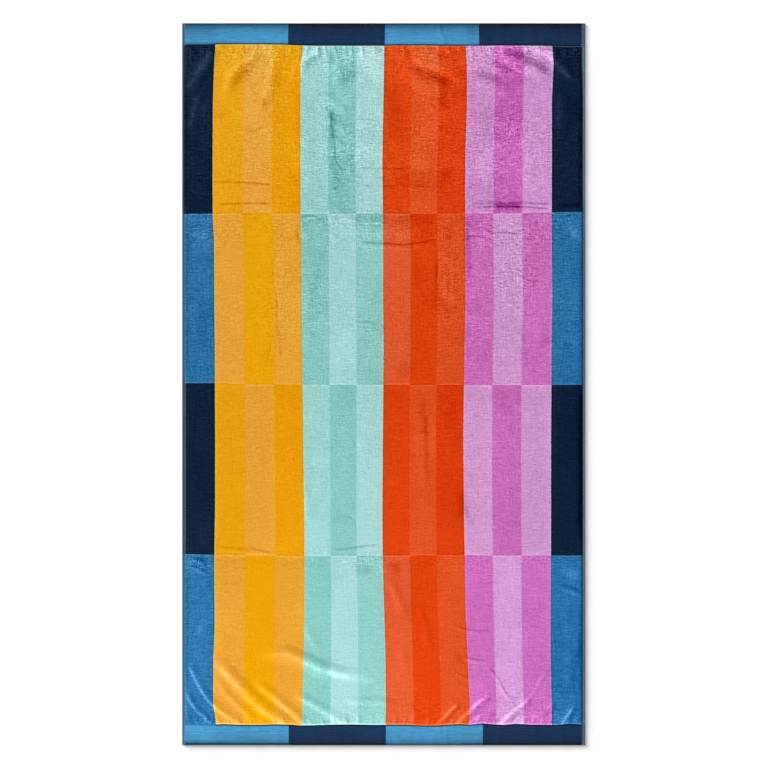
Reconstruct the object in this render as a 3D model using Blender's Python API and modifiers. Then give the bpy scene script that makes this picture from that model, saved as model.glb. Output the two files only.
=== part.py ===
"""Beach towel lying flat, face up: one woven cloth with a cut-pile field, a
flat folded hem at each end and a narrow pile-free selvedge down each side.

Frame: metres, +Z up. X runs across the towel, +Y up its length. The origin is
under the middle of the towel, on the surface that it lies on.
"""

import bpy
import bmesh
from mathutils import Vector

# ---------------------------------------------------------------- sizes (m)
WIDTH = 1.016  # selvedge to selvedge
LENGTH = 1.820  # lower hem edge to upper hem edge, as it lies

PILE_THICK = 0.0030  # pile on the face, loops on the back
HEM_THICK = 0.0022  # three plain-woven layers, pressed and stitched
SELVEDGE_THICK = 0.0016

LOWER_HEM = 0.0520
UPPER_HEM = 0.0540
LEFT_SELVEDGE = 0.0065
RIGHT_SELVEDGE = 0.0095
PILE_STEP = 0.0030  # the pile's own edge, where it falls to the flat weave

FIELD_COLUMNS = 30  # coarse cells across the pile field
# A coarse cell is divided where a fold is at least this high: the length that
# its sides are brought under, and that height.
DIVISIONS = (
    # side    fold
    (0.0360, 0.0004),
    (0.0180, 0.0006),
    (0.0110, 0.0014),
)

# Rows of coarse cells, from the lower edge up: where each band ends, and how
# many rows of cells it holds.
ROW_BANDS = (
    # top of the band                    rows
    (LOWER_HEM, 2),
    (LOWER_HEM + PILE_STEP, 1),
    (0.240, 6),
    (1.600, 20),
    (LENGTH - UPPER_HEM - PILE_STEP, 5),
    (LENGTH - UPPER_HEM, 1),
    (LENGTH, 2),
)
COLUMN_BANDS = (
    # right side of the band               columns
    (LEFT_SELVEDGE, 1),
    (LEFT_SELVEDGE + PILE_STEP, 1),
    (WIDTH - RIGHT_SELVEDGE - PILE_STEP, FIELD_COLUMNS),
    (WIDTH - RIGHT_SELVEDGE, 1),
    (WIDTH, 1),
)

# The main folds, in millimetres: height, half its breadth, how far each end
# takes to fade out, and the line of its crest as (across, up) from the lower
# left corner.
FOLDS = {
    # name             height half fade  crest
    "corner_crease": (1.6, 14, 28, ((12, 213), (40, 160), (52, 137), (90, 93), (113, 75), (153, 50))),
    "corner_small": (1.7, 12, 16, ((10, 137), (22, 112), (35, 94), (57, 71), (78, 51))),
    "yellow_main": (2.5, 22, 45, ((75, 233), (125, 175), (143, 156), (194, 104), (216, 87), (279, 49))),
    "yellow_second": (1.6, 16, 25, ((181, 162), (201, 147), (221, 133), (250, 108), (277, 87), (312, 54))),
    "mint_low": (2.3, 17, 25, ((279, 132), (312, 115), (342, 99), (370, 81), (395, 66), (423, 51))),
    "mint_soft": (1.9, 14, 38, ((403, 112), (453, 113), (498, 112), (549, 107))),
    "mint_arc": (3.0, 20, 98, ((176, 223), (282, 230), (327, 210), (388, 187), (438, 181), (544, 162))),
    "orange_notch": (1.2, 12, 15, ((572, 66), (589, 75), (609, 83), (630, 89))),
    "orange_low": (2.8, 12, 14, ((642, 49), (652, 59), (665, 70), (680, 87), (693, 98), (703, 108))),
    "orchid_low": (2.6, 13, 16, ((693, 46), (703, 59), (715, 71), (745, 102), (763, 114), (783, 121))),
    "orchid_low_soft": (1.6, 12, 23, ((720, 46), (733, 58), (751, 69), (771, 79), (798, 94))),
    "orchid_main": (3.0, 13, 15, ((801, 44), (811, 56), (826, 71), (855, 97), (869, 107), (882, 122))),
    "orchid_shelf": (1.2, 12, 20, ((841, 64), (861, 68), (882, 73), (907, 81))),
    "orchid_edge": (1.8, 12, 19, ((887, 66), (899, 74), (912, 83), (927, 94), (945, 109))),
    "corner_right": (1.6, 12, 23, ((953, 42), (965, 60), (981, 85), (996, 107))),
    "orchid_field": (1.2, 21, 40, ((725, 139), (756, 155), (786, 139))),
    "blue_crumple_a": (1.3, 12, 16, ((10, 462), (30, 467), (50, 462), (70, 449))),
    "blue_right_slant": (1.2, 12, 23, ((952, 397), (972, 393), (992, 386), (1010, 381))),
    "navy_upper": (2.5, 21, 33, ((12, 1634), (27, 1659), (45, 1684), (62, 1710), (78, 1740), (85, 1760))),
    "navy_upper_low": (1.6, 16, 38, ((55, 1657), (42, 1621), (32, 1586), (25, 1541))),
    "yellow_upper": (2.5, 21, 40, ((105, 1632), (115, 1657), (125, 1679), (156, 1713), (178, 1730), (206, 1750))),
    "yellow_upper_fall": (1.2, 20, 38, ((249, 1763), (240, 1737), (231, 1707), (216, 1647), (209, 1616), (201, 1581))),
    "mint_upper": (2.5, 16, 23, ((299, 1692), (307, 1712), (322, 1729), (340, 1742), (352, 1763))),
    "mint_leaf": (1.3, 16, 28, ((342, 1626), (362, 1634), (383, 1626), (403, 1609), (423, 1586))),
    "mint_leaf_low": (1.2, 15, 25, ((342, 1586), (367, 1579), (393, 1568), (418, 1558))),
    "orange_upper_a": (1.8, 28, 35, ((554, 1722), (574, 1700), (599, 1681), (627, 1672), (657, 1659), (690, 1644))),
    "orange_upper_b": (2.0, 27, 28, ((584, 1745), (609, 1725), (640, 1713), (667, 1701), (695, 1684), (715, 1667))),
    "orchid_upper_a": (2.0, 24, 33, ((796, 1742), (831, 1731), (861, 1716), (892, 1703), (917, 1687), (935, 1667))),
    "orchid_upper_b": (2.1, 19, 24, ((821, 1768), (887, 1761), (912, 1752), (947, 1722), (965, 1705), (992, 1677))),
    "orchid_upper_c": (1.6, 25, 28, ((745, 1682), (776, 1669), (808, 1658), (841, 1649))),
    "mint_cross_crease": (1.3, 12, 30, ((438, 1265), (486, 1260), (529, 1257), (594, 1259), (619, 1263), (655, 1272))),
}

FACE_COLOUR = (0.78, 0.36, 0.10, 1.0)
ROUGHNESS = 0.95


# ---------------------------------------------------------------- the folds
def along_crest(x, y, crest):
    """Distance from a point to the crest line, and the distance along the
    line to that nearest place, with the line's whole length (all in mm)."""
    best, at, run = None, 0.0, 0.0
    for (x0, y0), (x1, y1) in zip(crest, crest[1:]):
        start, step = Vector((x0, y0)), Vector((x1 - x0, y1 - y0))
        t = (Vector((x, y)) - start).dot(step) / step.length_squared
        t = min(max(t, 0.0), 1.0)
        away = (Vector((x, y)) - start - step * t).length
        if best is None or away < best:
            best, at = away, run + step.length * t
        run += step.length
    return best, at, run


def bell(t):
    """1 at 0, falling smoothly to 0 at 1 and beyond."""
    t = min(abs(t), 1.0)
    return (1.0 - t * t) ** 2


def eased(t):
    """0 below 0 and 1 above 1, with a smooth rise between."""
    t = min(max(t, 0.0), 1.0)
    return t * t * (3.0 - 2.0 * t)


def fold_height(x, y):
    """How far the cloth stands off the surface at a place on it, in metres."""
    across, up = (x + WIDTH / 2) * 1000, (y + LENGTH / 2) * 1000
    total = 0.0
    for height, half, fade, crest in FOLDS.values():
        away, at, run = along_crest(across, up, crest)
        if away >= half:
            continue
        end = min(at, run - at) / fade
        total += height * bell(away / half) * eased(end)
    # The edges lie on the surface, and the stitched hems press each fold flat.
    rim = min(across, WIDTH * 1000 - across)
    seam = min(up - LOWER_HEM * 1000, (LENGTH - UPPER_HEM) * 1000 - up)
    return total / 1000 * eased((rim - 1.0) / 13.0) * eased((seam + 2.5) / 16.0)


def thickness(x, y):
    """Thickness of the cloth at a place on it, in metres."""

    def pile(distance, plain, edge):
        return min(max((distance - edge) / PILE_STEP, 0.0), 1.0)

    across, up = x + WIDTH / 2, y + LENGTH / 2
    lengthwise = min(
        pile(up, HEM_THICK, LOWER_HEM), pile(LENGTH - up, HEM_THICK, UPPER_HEM)
    )
    sideways = min(
        pile(across, SELVEDGE_THICK, LEFT_SELVEDGE),
        pile(WIDTH - across, SELVEDGE_THICK, RIGHT_SELVEDGE),
    )
    if lengthwise < 0.001:
        return HEM_THICK
    edge = SELVEDGE_THICK + (PILE_THICK - SELVEDGE_THICK) * sideways
    return HEM_THICK + (edge - HEM_THICK) * lengthwise


# ---------------------------------------------------------------- the cloth
def band_lines(bands):
    """Places of the grid's lines, from 0 to the end of the last band."""
    lines, low = [0.0], 0.0
    for high, cells in bands:
        lines += [low + (high - low) * (i + 1) / cells for i in range(cells)]
        low = high
    return lines


def flat_cloth():
    """The flat grid, with its lines on the hem seams and pile edges."""
    columns, rows = band_lines(COLUMN_BANDS), band_lines(ROW_BANDS)
    cloth = bmesh.new()
    bmesh.ops.create_grid(
        cloth, x_segments=len(columns) - 1, y_segments=len(rows) - 1, size=0.5
    )
    for vert in cloth.verts:
        i = round((vert.co.x + 0.5) * (len(columns) - 1))
        j = round((vert.co.y + 0.5) * (len(rows) - 1))
        vert.co.x = columns[i] - WIDTH / 2
        vert.co.y = rows[j] - LENGTH / 2
        vert.co.z = 0.0
    return cloth


def on_a_fold(face, height):
    """True if the cloth stands this high somewhere in this face."""
    middle = face.calc_center_median()
    places = [middle] + [v.co.lerp(middle, t) for v in face.verts for t in (0.0, 0.5)]
    return any(fold_height(p.x, p.y) > height for p in places)


def divide_folds(cloth):
    """Divides the cells that lie on folds, more finely on the higher ones."""
    for side, height in DIVISIONS:
        folded = [f for f in cloth.faces if on_a_fold(f, height)]
        edges = {e for f in folded for e in f.edges if e.calc_length() > side}
        if edges:
            bmesh.ops.subdivide_edges(
                cloth, edges=list(edges), cuts=1, use_grid_fill=True
            )


def make_towel(collection):
    cloth = flat_cloth()
    divide_folds(cloth)
    for vert in cloth.verts:
        vert.co.z = fold_height(vert.co.x, vert.co.y)
    bmesh.ops.triangulate(cloth, faces=[f for f in cloth.faces if len(f.verts) > 4])
    bmesh.ops.recalc_face_normals(cloth, faces=cloth.faces)
    if sum(f.normal.z for f in cloth.faces) < 0:
        bmesh.ops.reverse_faces(cloth, faces=cloth.faces)
    mesh = bpy.data.meshes.new("towel")
    cloth.to_mesh(mesh)
    cloth.free()

    towel = bpy.data.objects.new("towel", mesh)
    collection.objects.link(towel)
    group = towel.vertex_groups.new(name="thickness")
    for vert in mesh.vertices:
        group.add([vert.index], thickness(vert.co.x, vert.co.y) / PILE_THICK, "REPLACE")

    solid = towel.modifiers.new("cloth", "SOLIDIFY")
    solid.thickness = PILE_THICK
    solid.offset = 1.0
    solid.vertex_group = group.name
    solid.thickness_vertex_group = 0.0
    solid.use_even_offset = False
    return towel


def cloth_material():
    material = bpy.data.materials.new("towel_cloth")
    material.use_nodes = True
    shader = material.node_tree.nodes["Principled BSDF"]
    shader.inputs["Base Color"].default_value = FACE_COLOUR
    shader.inputs["Roughness"].default_value = ROUGHNESS
    shader.inputs["Metallic"].default_value = 0.0
    return material


def main():
    for obj in list(bpy.data.objects):
        bpy.data.objects.remove(obj, do_unlink=True)
    collection = bpy.data.collections.new("beach_towel")
    bpy.context.scene.collection.children.link(collection)
    towel = make_towel(collection)
    towel.data.materials.append(cloth_material())


main()
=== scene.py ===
"""The finished look of the beach towel: one sheared-pile cloth, laid out flat with the creases it was folded and pressed into.

Places across the towel are given in the photograph's 768 x 768 frame, y running down it, and one unit of that frame is PER_UNIT metres. Heights are in millimetres.
"""

import math

import bpy
import numpy as np
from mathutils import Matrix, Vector


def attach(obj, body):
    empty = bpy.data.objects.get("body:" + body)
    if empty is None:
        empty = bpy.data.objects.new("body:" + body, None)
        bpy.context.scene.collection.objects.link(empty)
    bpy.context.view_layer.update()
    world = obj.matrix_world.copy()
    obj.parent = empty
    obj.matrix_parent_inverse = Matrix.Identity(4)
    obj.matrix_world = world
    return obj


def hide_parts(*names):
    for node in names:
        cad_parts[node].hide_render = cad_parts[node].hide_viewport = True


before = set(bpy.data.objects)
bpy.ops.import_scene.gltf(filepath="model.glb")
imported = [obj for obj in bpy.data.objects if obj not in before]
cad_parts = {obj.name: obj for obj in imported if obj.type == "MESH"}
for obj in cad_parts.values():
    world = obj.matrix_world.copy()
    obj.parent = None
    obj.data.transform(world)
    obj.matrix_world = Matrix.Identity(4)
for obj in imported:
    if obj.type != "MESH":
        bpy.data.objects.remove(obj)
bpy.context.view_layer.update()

PER_UNIT = 0.0025211  # metres for one unit of the photograph's frame
MIDDLE_X, MIDDLE_Y = 384.07, 384.5  # where the towel's centre lies in that frame

# The towel's outline and the lines woven into it, in frame units.
LEFT, RIGHT, TOP, BOTTOM = 182.22, 585.32, 23.24, 745.32
PILE_LEFT, PILE_RIGHT = 185.2, 581.6  # between them is pile, outside them selvedge
UPPER_SEAM, LOWER_SEAM = 45.3, 724.8  # the hems run from these to the ends
ROW_LINES = (213.4, 384.6, 555.3)  # where the stripes change shade
COLUMN_LINES = (213.9, 302.2, 383.5, 465.3, 551.9)  # side, yellow, mint, orange, orchid, side
THIRDS = ((0.341, 0.677), (0.337, 0.668), (0.332, 0.660), (0.327, 0.660))

PILE_THICK, PILE_EDGE = 3.0, 1.5
HEM_THICK, SELVEDGE_THICK = 2.3, 1.6
FINE = 8  # the finest cell is an eighth of a base cell
FACE_TRIANGLES, BACK_TRIANGLES = 146000, 34000

# How the stripes wander: at each y, where the five column lines really run.
DRIFT = (
    # y, side to yellow, to mint, to orange, to orchid, to side
    (23, 215.8, 303.65, 384.3, 465.4, 551.75),
    (46, 215.4, 303.05, 384.3, 465.8, 552.15),
    (64, 214.2, 300.45, 384.2, 466.8, 553.65),
    (100, 212.9, 300.35, 383.6, 466.9, 551.85),
    (160, 212.5, 300.25, 382.4, 465.1, 551.95),
    (220, 212.6, 300.55, 383.1, 465.1, 551.75),
    (236, 213.9, 301.25, 383.2, 465.2, 551.85),
    (300, 214.3, 301.35, 383.2, 465.6, 552.45),
    (348, 214.7, 302.05, 383.7, 464.3, 551.65),
    (432, 215.1, 302.95, 383, 463.2, 551.05),
    (512, 215, 304.05, 382.4, 463.8, 551.05),
    (562, 214.2, 304.35, 382.8, 464.7, 550.95),
    (610, 214.5, 304.15, 384.3, 465.4, 550.75),
    (634, 214.5, 304.05, 385, 466.4, 550.65),
    (658, 213.2, 303.15, 385.6, 467.5, 550.75),
    (706, 213.2, 302.25, 386, 469.7, 551.75),
    (722, 216, 301.85, 385.8, 469.1, 551.85),
    (746, 216, 301.85, 385.8, 469.1, 551.85),
)

# Where the pile ends and the selvedge begins, on the left and on the right: y, left x, right x.
PILE_ENDS = ((23, 185.2, 581.2), (44, 185.4, 580.9), (66, 185.2, 580.9), (76, 184.9, 581.5), (96, 184.6, 581.9), (200, 184.4, 581.9), (216, 184.9, 582.2), (380, 185.0, 582.2), (390, 185.5, 582.1), (550, 185.5, 582.1), (560, 184.9, 581.8), (724, 184.9, 581.6), (746, 184.9, 581.4))

# How the cross lines wander: x, then y at that x.
UPPER_SEAM_RUN = ((183, 45.2), (208, 45.1), (216, 44.2), (236, 44.0), (262, 44.1), (280, 44.5), (300, 45.3), (312, 45.6), (384, 45.6), (394, 45.3), (424, 45.3), (434, 45.5), (474, 45.8), (500, 45.4), (540, 45.6), (556, 46.1), (568, 46.5), (582, 46.3))
LOWER_SEAM_RUN = ((183, 724.4), (195, 724.1), (203, 724.3), (212, 724.6), (222, 724.1), (238, 724.8), (258, 724.9), (275, 724.4), (292, 724.7), (300, 725.5), (314, 725.3), (330, 724.7), (350, 724.5), (372, 724.9), (400, 724.7), (420, 725.6), (432, 725.6), (442, 725.0), (456, 724.2), (466, 724.8), (479, 723.4), (492, 724.5), (502, 724.9), (514, 723.8), (530, 724.7), (546, 724.8), (556, 725.1), (570, 723.7), (582, 724.4))
ROW_RUNS = (
    ((183, 213.9), (222, 213.7), (250, 212.8), (280, 213.4), (308, 213.9), (362, 213.5), (414, 213.8), (474, 213.3), (500, 213.5), (535, 212.9), (560, 212.1), (585, 212.0)),
    ((183, 383.2), (214, 383.1), (232, 383.7), (258, 384.5), (320, 384.8), (474, 384.9), (500, 385.2), (540, 385.0), (585, 384.8)),
    ((183, 554.0), (214, 554.8), (240, 555.3), (258, 555.5), (290, 556.0), (308, 556.3), (335, 556.0), (362, 555.6), (414, 555.5), (474, 555.1), (500, 555.6), (585, 555.5)),
)

# Folds that lift the whole cloth. "below" and "above" are how far the fold reaches on either side of its crest, taken
# with the crest running to the right; on a crest that runs down, below is its left. "fade" is the length over which
# each end dies away, and "highlight" how strong a painted highlight lies on the lit shoulder below the crest, or above
# it for a value under 0.
FOLDS = (
    # name, height mm, highlight, below, above, fade at the start, fade at the end, crest
    ("corner_crease", 1.64, 1.1, 3.2, 7.6, 14, 8, ((187, 661), (193, 672), (198, 682), (203, 691), (208, 698.5), (218, 708.5), (227, 715.5), (235, 720.5), (243, 725.5))),
    ("corner_small", 1.72, 0.75, 2.8, 5.0, 8, 5, ((186, 691), (191, 701), (196, 708), (205, 717), (213, 725))),
    ("corner_pucker", 0.6, 0.3, 2.4, 2.6, 4, 3, ((205, 713), (208, 719), (211, 726))),
    ("corner_soft", 1.08, 0.15, 4.4, 5.0, 20, 12, ((214, 676), (221, 686), (228, 695), (245, 711), (259, 724))),
    ("yellow_main", 2.53, 1.1, 8.0, 9.5, 26, 10, ((212, 653), (219, 662), (232, 676), (239, 683.5), (246, 690.5), (259, 704), (268, 711), (279, 717.5), (293, 726))),
    ("yellow_second", 1.58, 1.0, 6.0, 7.0, 14, 6, ((254, 681), (262, 687), (270, 692.5), (281.5, 702.5), (292, 711), (306, 724))),
    ("mint_low", 1.85, 0.7, 6.4, 7.0, 12, 8, ((293, 693), (306, 699.5), (318, 706), (329, 713), (339, 719), (350, 725))),
    ("mint_soft", 1.89, 0.2, 6.0, 5.0, 14, 16, ((342, 701), (362, 700.5), (380, 701), (400, 703))),
    ("mint_arc", 3.0, 1.0, 8.0, 8.0, 34, 44, ((252, 657), (268, 654), (284, 651), (294, 654), (303, 658), (312, 662), (320, 665.5), (328, 668.5), (336, 671), (345, 672.5), (356, 673.5), (370, 676), (380, 677.6))),
    ("mint_arc_tail", 0.98, 0.1, 7.0, 6.0, 14, 14, ((270, 660), (286, 658), (302, 664), (316, 671), (332, 676))),
    ("mint_ray", 0.9, 0.1, 5.0, 6.0, 14, 12, ((303, 622), (308, 632), (314, 642), (322, 653))),
    ("orange_arch", 1.07, -0.25, 3.4, 3.6, 6, 6, ((408, 722), (414, 719.5), (424, 719.2), (434, 721), (440, 724))),
    ("orange_notch", 1.23, -0.2, 4.0, 3.4, 7, 5, ((409, 719), (416, 715.5), (424, 712.5), (432, 710))),
    ("orange_low", 2.79, -1.0, 4.2, 3.6, 4, 7, ((437, 726), (441, 722), (446, 717.5), (452, 711), (457, 706.5), (461, 702.5))),
    ("orchid_low", 2.62, -1.6, 5.4, 4.6, 4, 9, ((457, 727), (461, 722), (466, 717), (472, 711.5), (478, 705), (485, 700), (493, 697.5))),
    ("orchid_low_soft", 1.64, -0.5, 4.6, 4.0, 4, 14, ((468, 727), (473, 722.5), (480, 718), (488, 714), (499, 708))),
    ("orchid_main", 2.95, -1.0, 5.4, 4.6, 4, 8, ((500, 728), (504, 723), (510, 717), (515.5, 711.5), (521.5, 707), (527, 703), (532, 697))),
    ("orchid_ray", 0.82, -0.15, 3.4, 3.4, 8, 12, ((528, 701), (534, 693.5), (540, 683), (546, 673), (550, 665))),
    ("orchid_shelf", 1.23, -0.3, 4.2, 3.6, 8, 8, ((516, 720), (524, 718.5), (532, 716.5), (542, 713))),
    ("orchid_edge", 1.8, -0.4, 4.2, 3.8, 7, 8, ((534, 719), (539, 716), (544, 712.5), (550, 708), (557, 702))),
    ("corner_right", 1.64, -1.5, 4.4, 3.0, 4, 14, ((560.5, 728.5), (565, 721.5), (571.5, 711.5), (577.5, 703))),
    ("edge_right_soft", 0.6, 0.3, 7.0, 7.0, 14, 14, ((570, 646), (571, 662), (570, 678), (567, 692))),
    ("orange_upright", 0.9, 0.1, 7.0, 5.4, 18, 16, ((417, 596), (421, 612), (425, 626), (428, 640), (430, 656))),
    ("orange_slant", 0.82, 0.1, 6.4, 6.0, 14, 16, ((389, 576), (396, 592), (403, 608), (408, 620))),
    ("orange_slant_low", 0.82, 0.05, 6.0, 5.0, 16, 14, ((400, 640), (404, 658), (406, 676))),
    ("orchid_thin_high", 0.5, 0.15, 3.4, 2.4, 8, 8, ((447, 621.5), (455, 625.5), (468, 630.5), (480, 631.8), (494, 630.6))),
    ("orchid_thin_mid", 0.82, 0.25, 3.4, 2.4, 5, 6, ((463, 657.6), (472, 659.8), (480, 661.6), (490, 661.8))),
    ("orchid_hook", 0.57, 0.0, 2.8, 3.4, 8, 8, ((484, 667), (490, 670), (496, 676), (500.5, 683), (504, 691), (508, 696), (515, 702))),
    ("orchid_thin_low", 0.57, 0.1, 3.0, 2.4, 6, 6, ((455, 674), (466, 677.4), (474, 678.4))),
    ("orchid_field", 1.23, 0.1, 9.0, 8.0, 16, 16, ((470, 690), (482, 684), (494, 690))),
    ("blue_crumple_a", 1.31, 0.7, 4.0, 3.6, 5, 8, ((186, 562), (194, 560), (202, 562), (210, 567))),
    ("blue_crumple_b", 1.07, 0.6, 3.4, 3.6, 5, 6, ((187, 571), (194, 568), (202, 571), (208, 576))),
    ("blue_right_slant", 1.23, 0.6, 4.6, 3.8, 10, 8, ((560, 588), (568, 589.5), (576, 592), (583, 594))),
    # the upper end
    ("navy_upper", 2.46, -0.5, 8.0, 9.0, 16, 10, ((187, 97), (193, 87), (200, 77), (207, 67), (213, 55), (216, 47))),
    ("navy_upper_low", 1.64, 0.3, 6.5, 6.0, 14, 16, ((204, 88), (199, 102), (195, 116), (192, 134))),
    ("yellow_upper", 2.54, -0.3, 9.0, 7.4, 18, 14, ((224, 98), (228, 88), (232, 79), (237, 72), (244, 65.5), (253, 59), (264, 51))),
    ("yellow_upper_fall", 0.95, 0.3, 7.2, 8.4, 8, 22, ((281, 46), (277.5, 56), (274, 68), (271, 80), (268, 92), (265, 104), (262, 118))),
    ("yellow_upper_third", 0.55, 0.1, 5.4, 5.0, 6, 14, ((299, 50), (297, 62), (294, 74), (291, 90))),
    ("mint_upper", 2.46, -0.3, 6.4, 6.4, 10, 8, ((301, 74), (304, 66), (310, 59.5), (317, 54), (322, 46))),
    ("mint_leaf", 1.31, 0.15, 8.0, 5.0, 12, 10, ((318, 100), (326, 97), (334, 100), (342, 107), (350, 116))),
    ("mint_leaf_low", 1.23, 0.1, 6.0, 5.6, 10, 10, ((318, 116), (328, 119), (338, 123), (348, 127))),
    ("mint_ridge_right", 0.41, 0.05, 5.4, 8.0, 12, 24, ((338, 132), (341, 145), (344, 156), (350, 168), (356, 182), (360, 196))),
    ("orange_upper_a", 1.8, 0.1, 16.0, 6.6, 12, 16, ((402, 62), (410, 71), (420, 78.5), (431, 82), (443, 87), (456, 93))),
    ("orange_upper_b", 1.97, 0.2, 7.6, 14.0, 10, 12, ((414, 53), (424, 61), (436, 65.5), (447, 70.5), (458, 77), (466, 84))),
    ("orchid_upper_a", 1.97, 0.1, 13.0, 6.2, 12, 14, ((498, 54), (512, 58.5), (524, 64.5), (536, 69.5), (546, 76), (553, 84))),
    ("orchid_upper_b", 2.13, 0.4, 6.4, 9.0, 10, 9, ((508, 44), (522, 45.5), (534, 46.5), (544, 50), (552, 55), (558, 62), (565, 69), (571, 75), (576, 80))),
    ("orchid_upper_c", 1.64, 0.1, 14.0, 6.0, 10, 12, ((478, 78), (490, 83), (503, 87.5), (516, 91))),
    ("orchid_upper_d", 0.98, 0.1, 7.0, 5.0, 8, 8, ((492, 66), (501, 70), (511, 76))),
    ("navy_right_upright", 0.98, 0.3, 8.0, 9.0, 16, 20, ((564, 88), (564, 104), (563, 122), (561, 142))),
    ("mint_rough_lift", 1.07, 0.3, 7.0, 9.0, 10, 10, ((334, 56), (337, 66), (338, 78), (340, 90))),
    # the second row
    ("blue_upper_bar", 0.66, -0.2, 4.0, 4.4, 8, 10, ((186, 229), (195, 232.5), (205, 234), (216, 236), (226, 237.5))),
    ("mint_cross_crease", 1.31, 0.1, 4.4, 3.4, 12, 12, ((356, 243.6), (375, 245.4), (392, 246.4), (406, 247.2), (418, 245.6), (428, 244.4), (442, 240.5))),
    ("mint_cross_upper", 0.49, 0.2, 3.4, 3.0, 14, 10, ((326, 219), (345, 220), (365, 221.6), (388, 222.5))),
    ("yellow_wavy", 0.09, 0.0, 3.6, 4.6, 14, 22, ((275, 240), (278, 254), (276.5, 266), (277.5, 284), (280, 302), (280.5, 322), (284, 346), (282, 366))),
    ("yellow_wavy_branch", 0.08, 0.0, 3.4, 3.6, 10, 14, ((275, 336), (271, 350), (268, 364), (264, 380))),
    ("mint_left_streak", 0.41, 0.0, 5.0, 5.0, 14, 18, ((324, 250), (318, 266), (312, 284), (309, 304), (309, 326))),
    ("orange_ribs", 0.33, 0.05, 2.6, 3.0, 14, 18, ((444, 246), (445, 268), (446, 290), (447, 320))),
    ("orange_ribs_right", 0.29, 0.05, 2.6, 3.0, 14, 18, ((453, 250), (454, 270), (454, 292), (453, 316))),
    ("mint_low_bar", 0.66, 0.15, 3.4, 3.0, 8, 8, ((354, 323), (364, 323.6), (378, 325.4))),
    ("blue_right_bar", 0.3, 0.1, 4.0, 4.0, 8, 8, ((558, 220), (565, 225), (572, 230), (580, 236))),
    ("orchid_bar_a", 0.45, 0.1, 3.0, 2.6, 6, 6, ((461, 239.4), (474, 237.4), (487, 237.4))),
    ("orchid_bar_b", 0.5, 0.1, 3.0, 2.6, 5, 6, ((483, 229), (490, 233.2), (500, 233.6), (514, 234.4))),
    # the third row
    ("orange_long", 0.16, 0.05, 5.0, 5.0, 16, 22, ((423, 408), (424, 436), (425, 462), (427, 492))),
    ("orange_long_low", 0.3, 0.05, 5.0, 5.0, 12, 14, ((460, 488), (464, 506), (468, 528))),
    ("mint_edge_bar", 0.82, 0.1, 3.2, 4.0, 12, 12, ((326, 551.6), (344, 551), (358, 549.2), (370, 548), (386, 546.6))),
    ("yellow_edge_bar", 0.66, 0.05, 3.2, 3.0, 10, 10, ((215, 548), (234, 550), (254, 552), (276, 553))),
    ("mint_upright", 0.49, 0.05, 4.0, 4.0, 12, 12, ((305, 476), (307, 496), (308, 524))),
)
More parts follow.
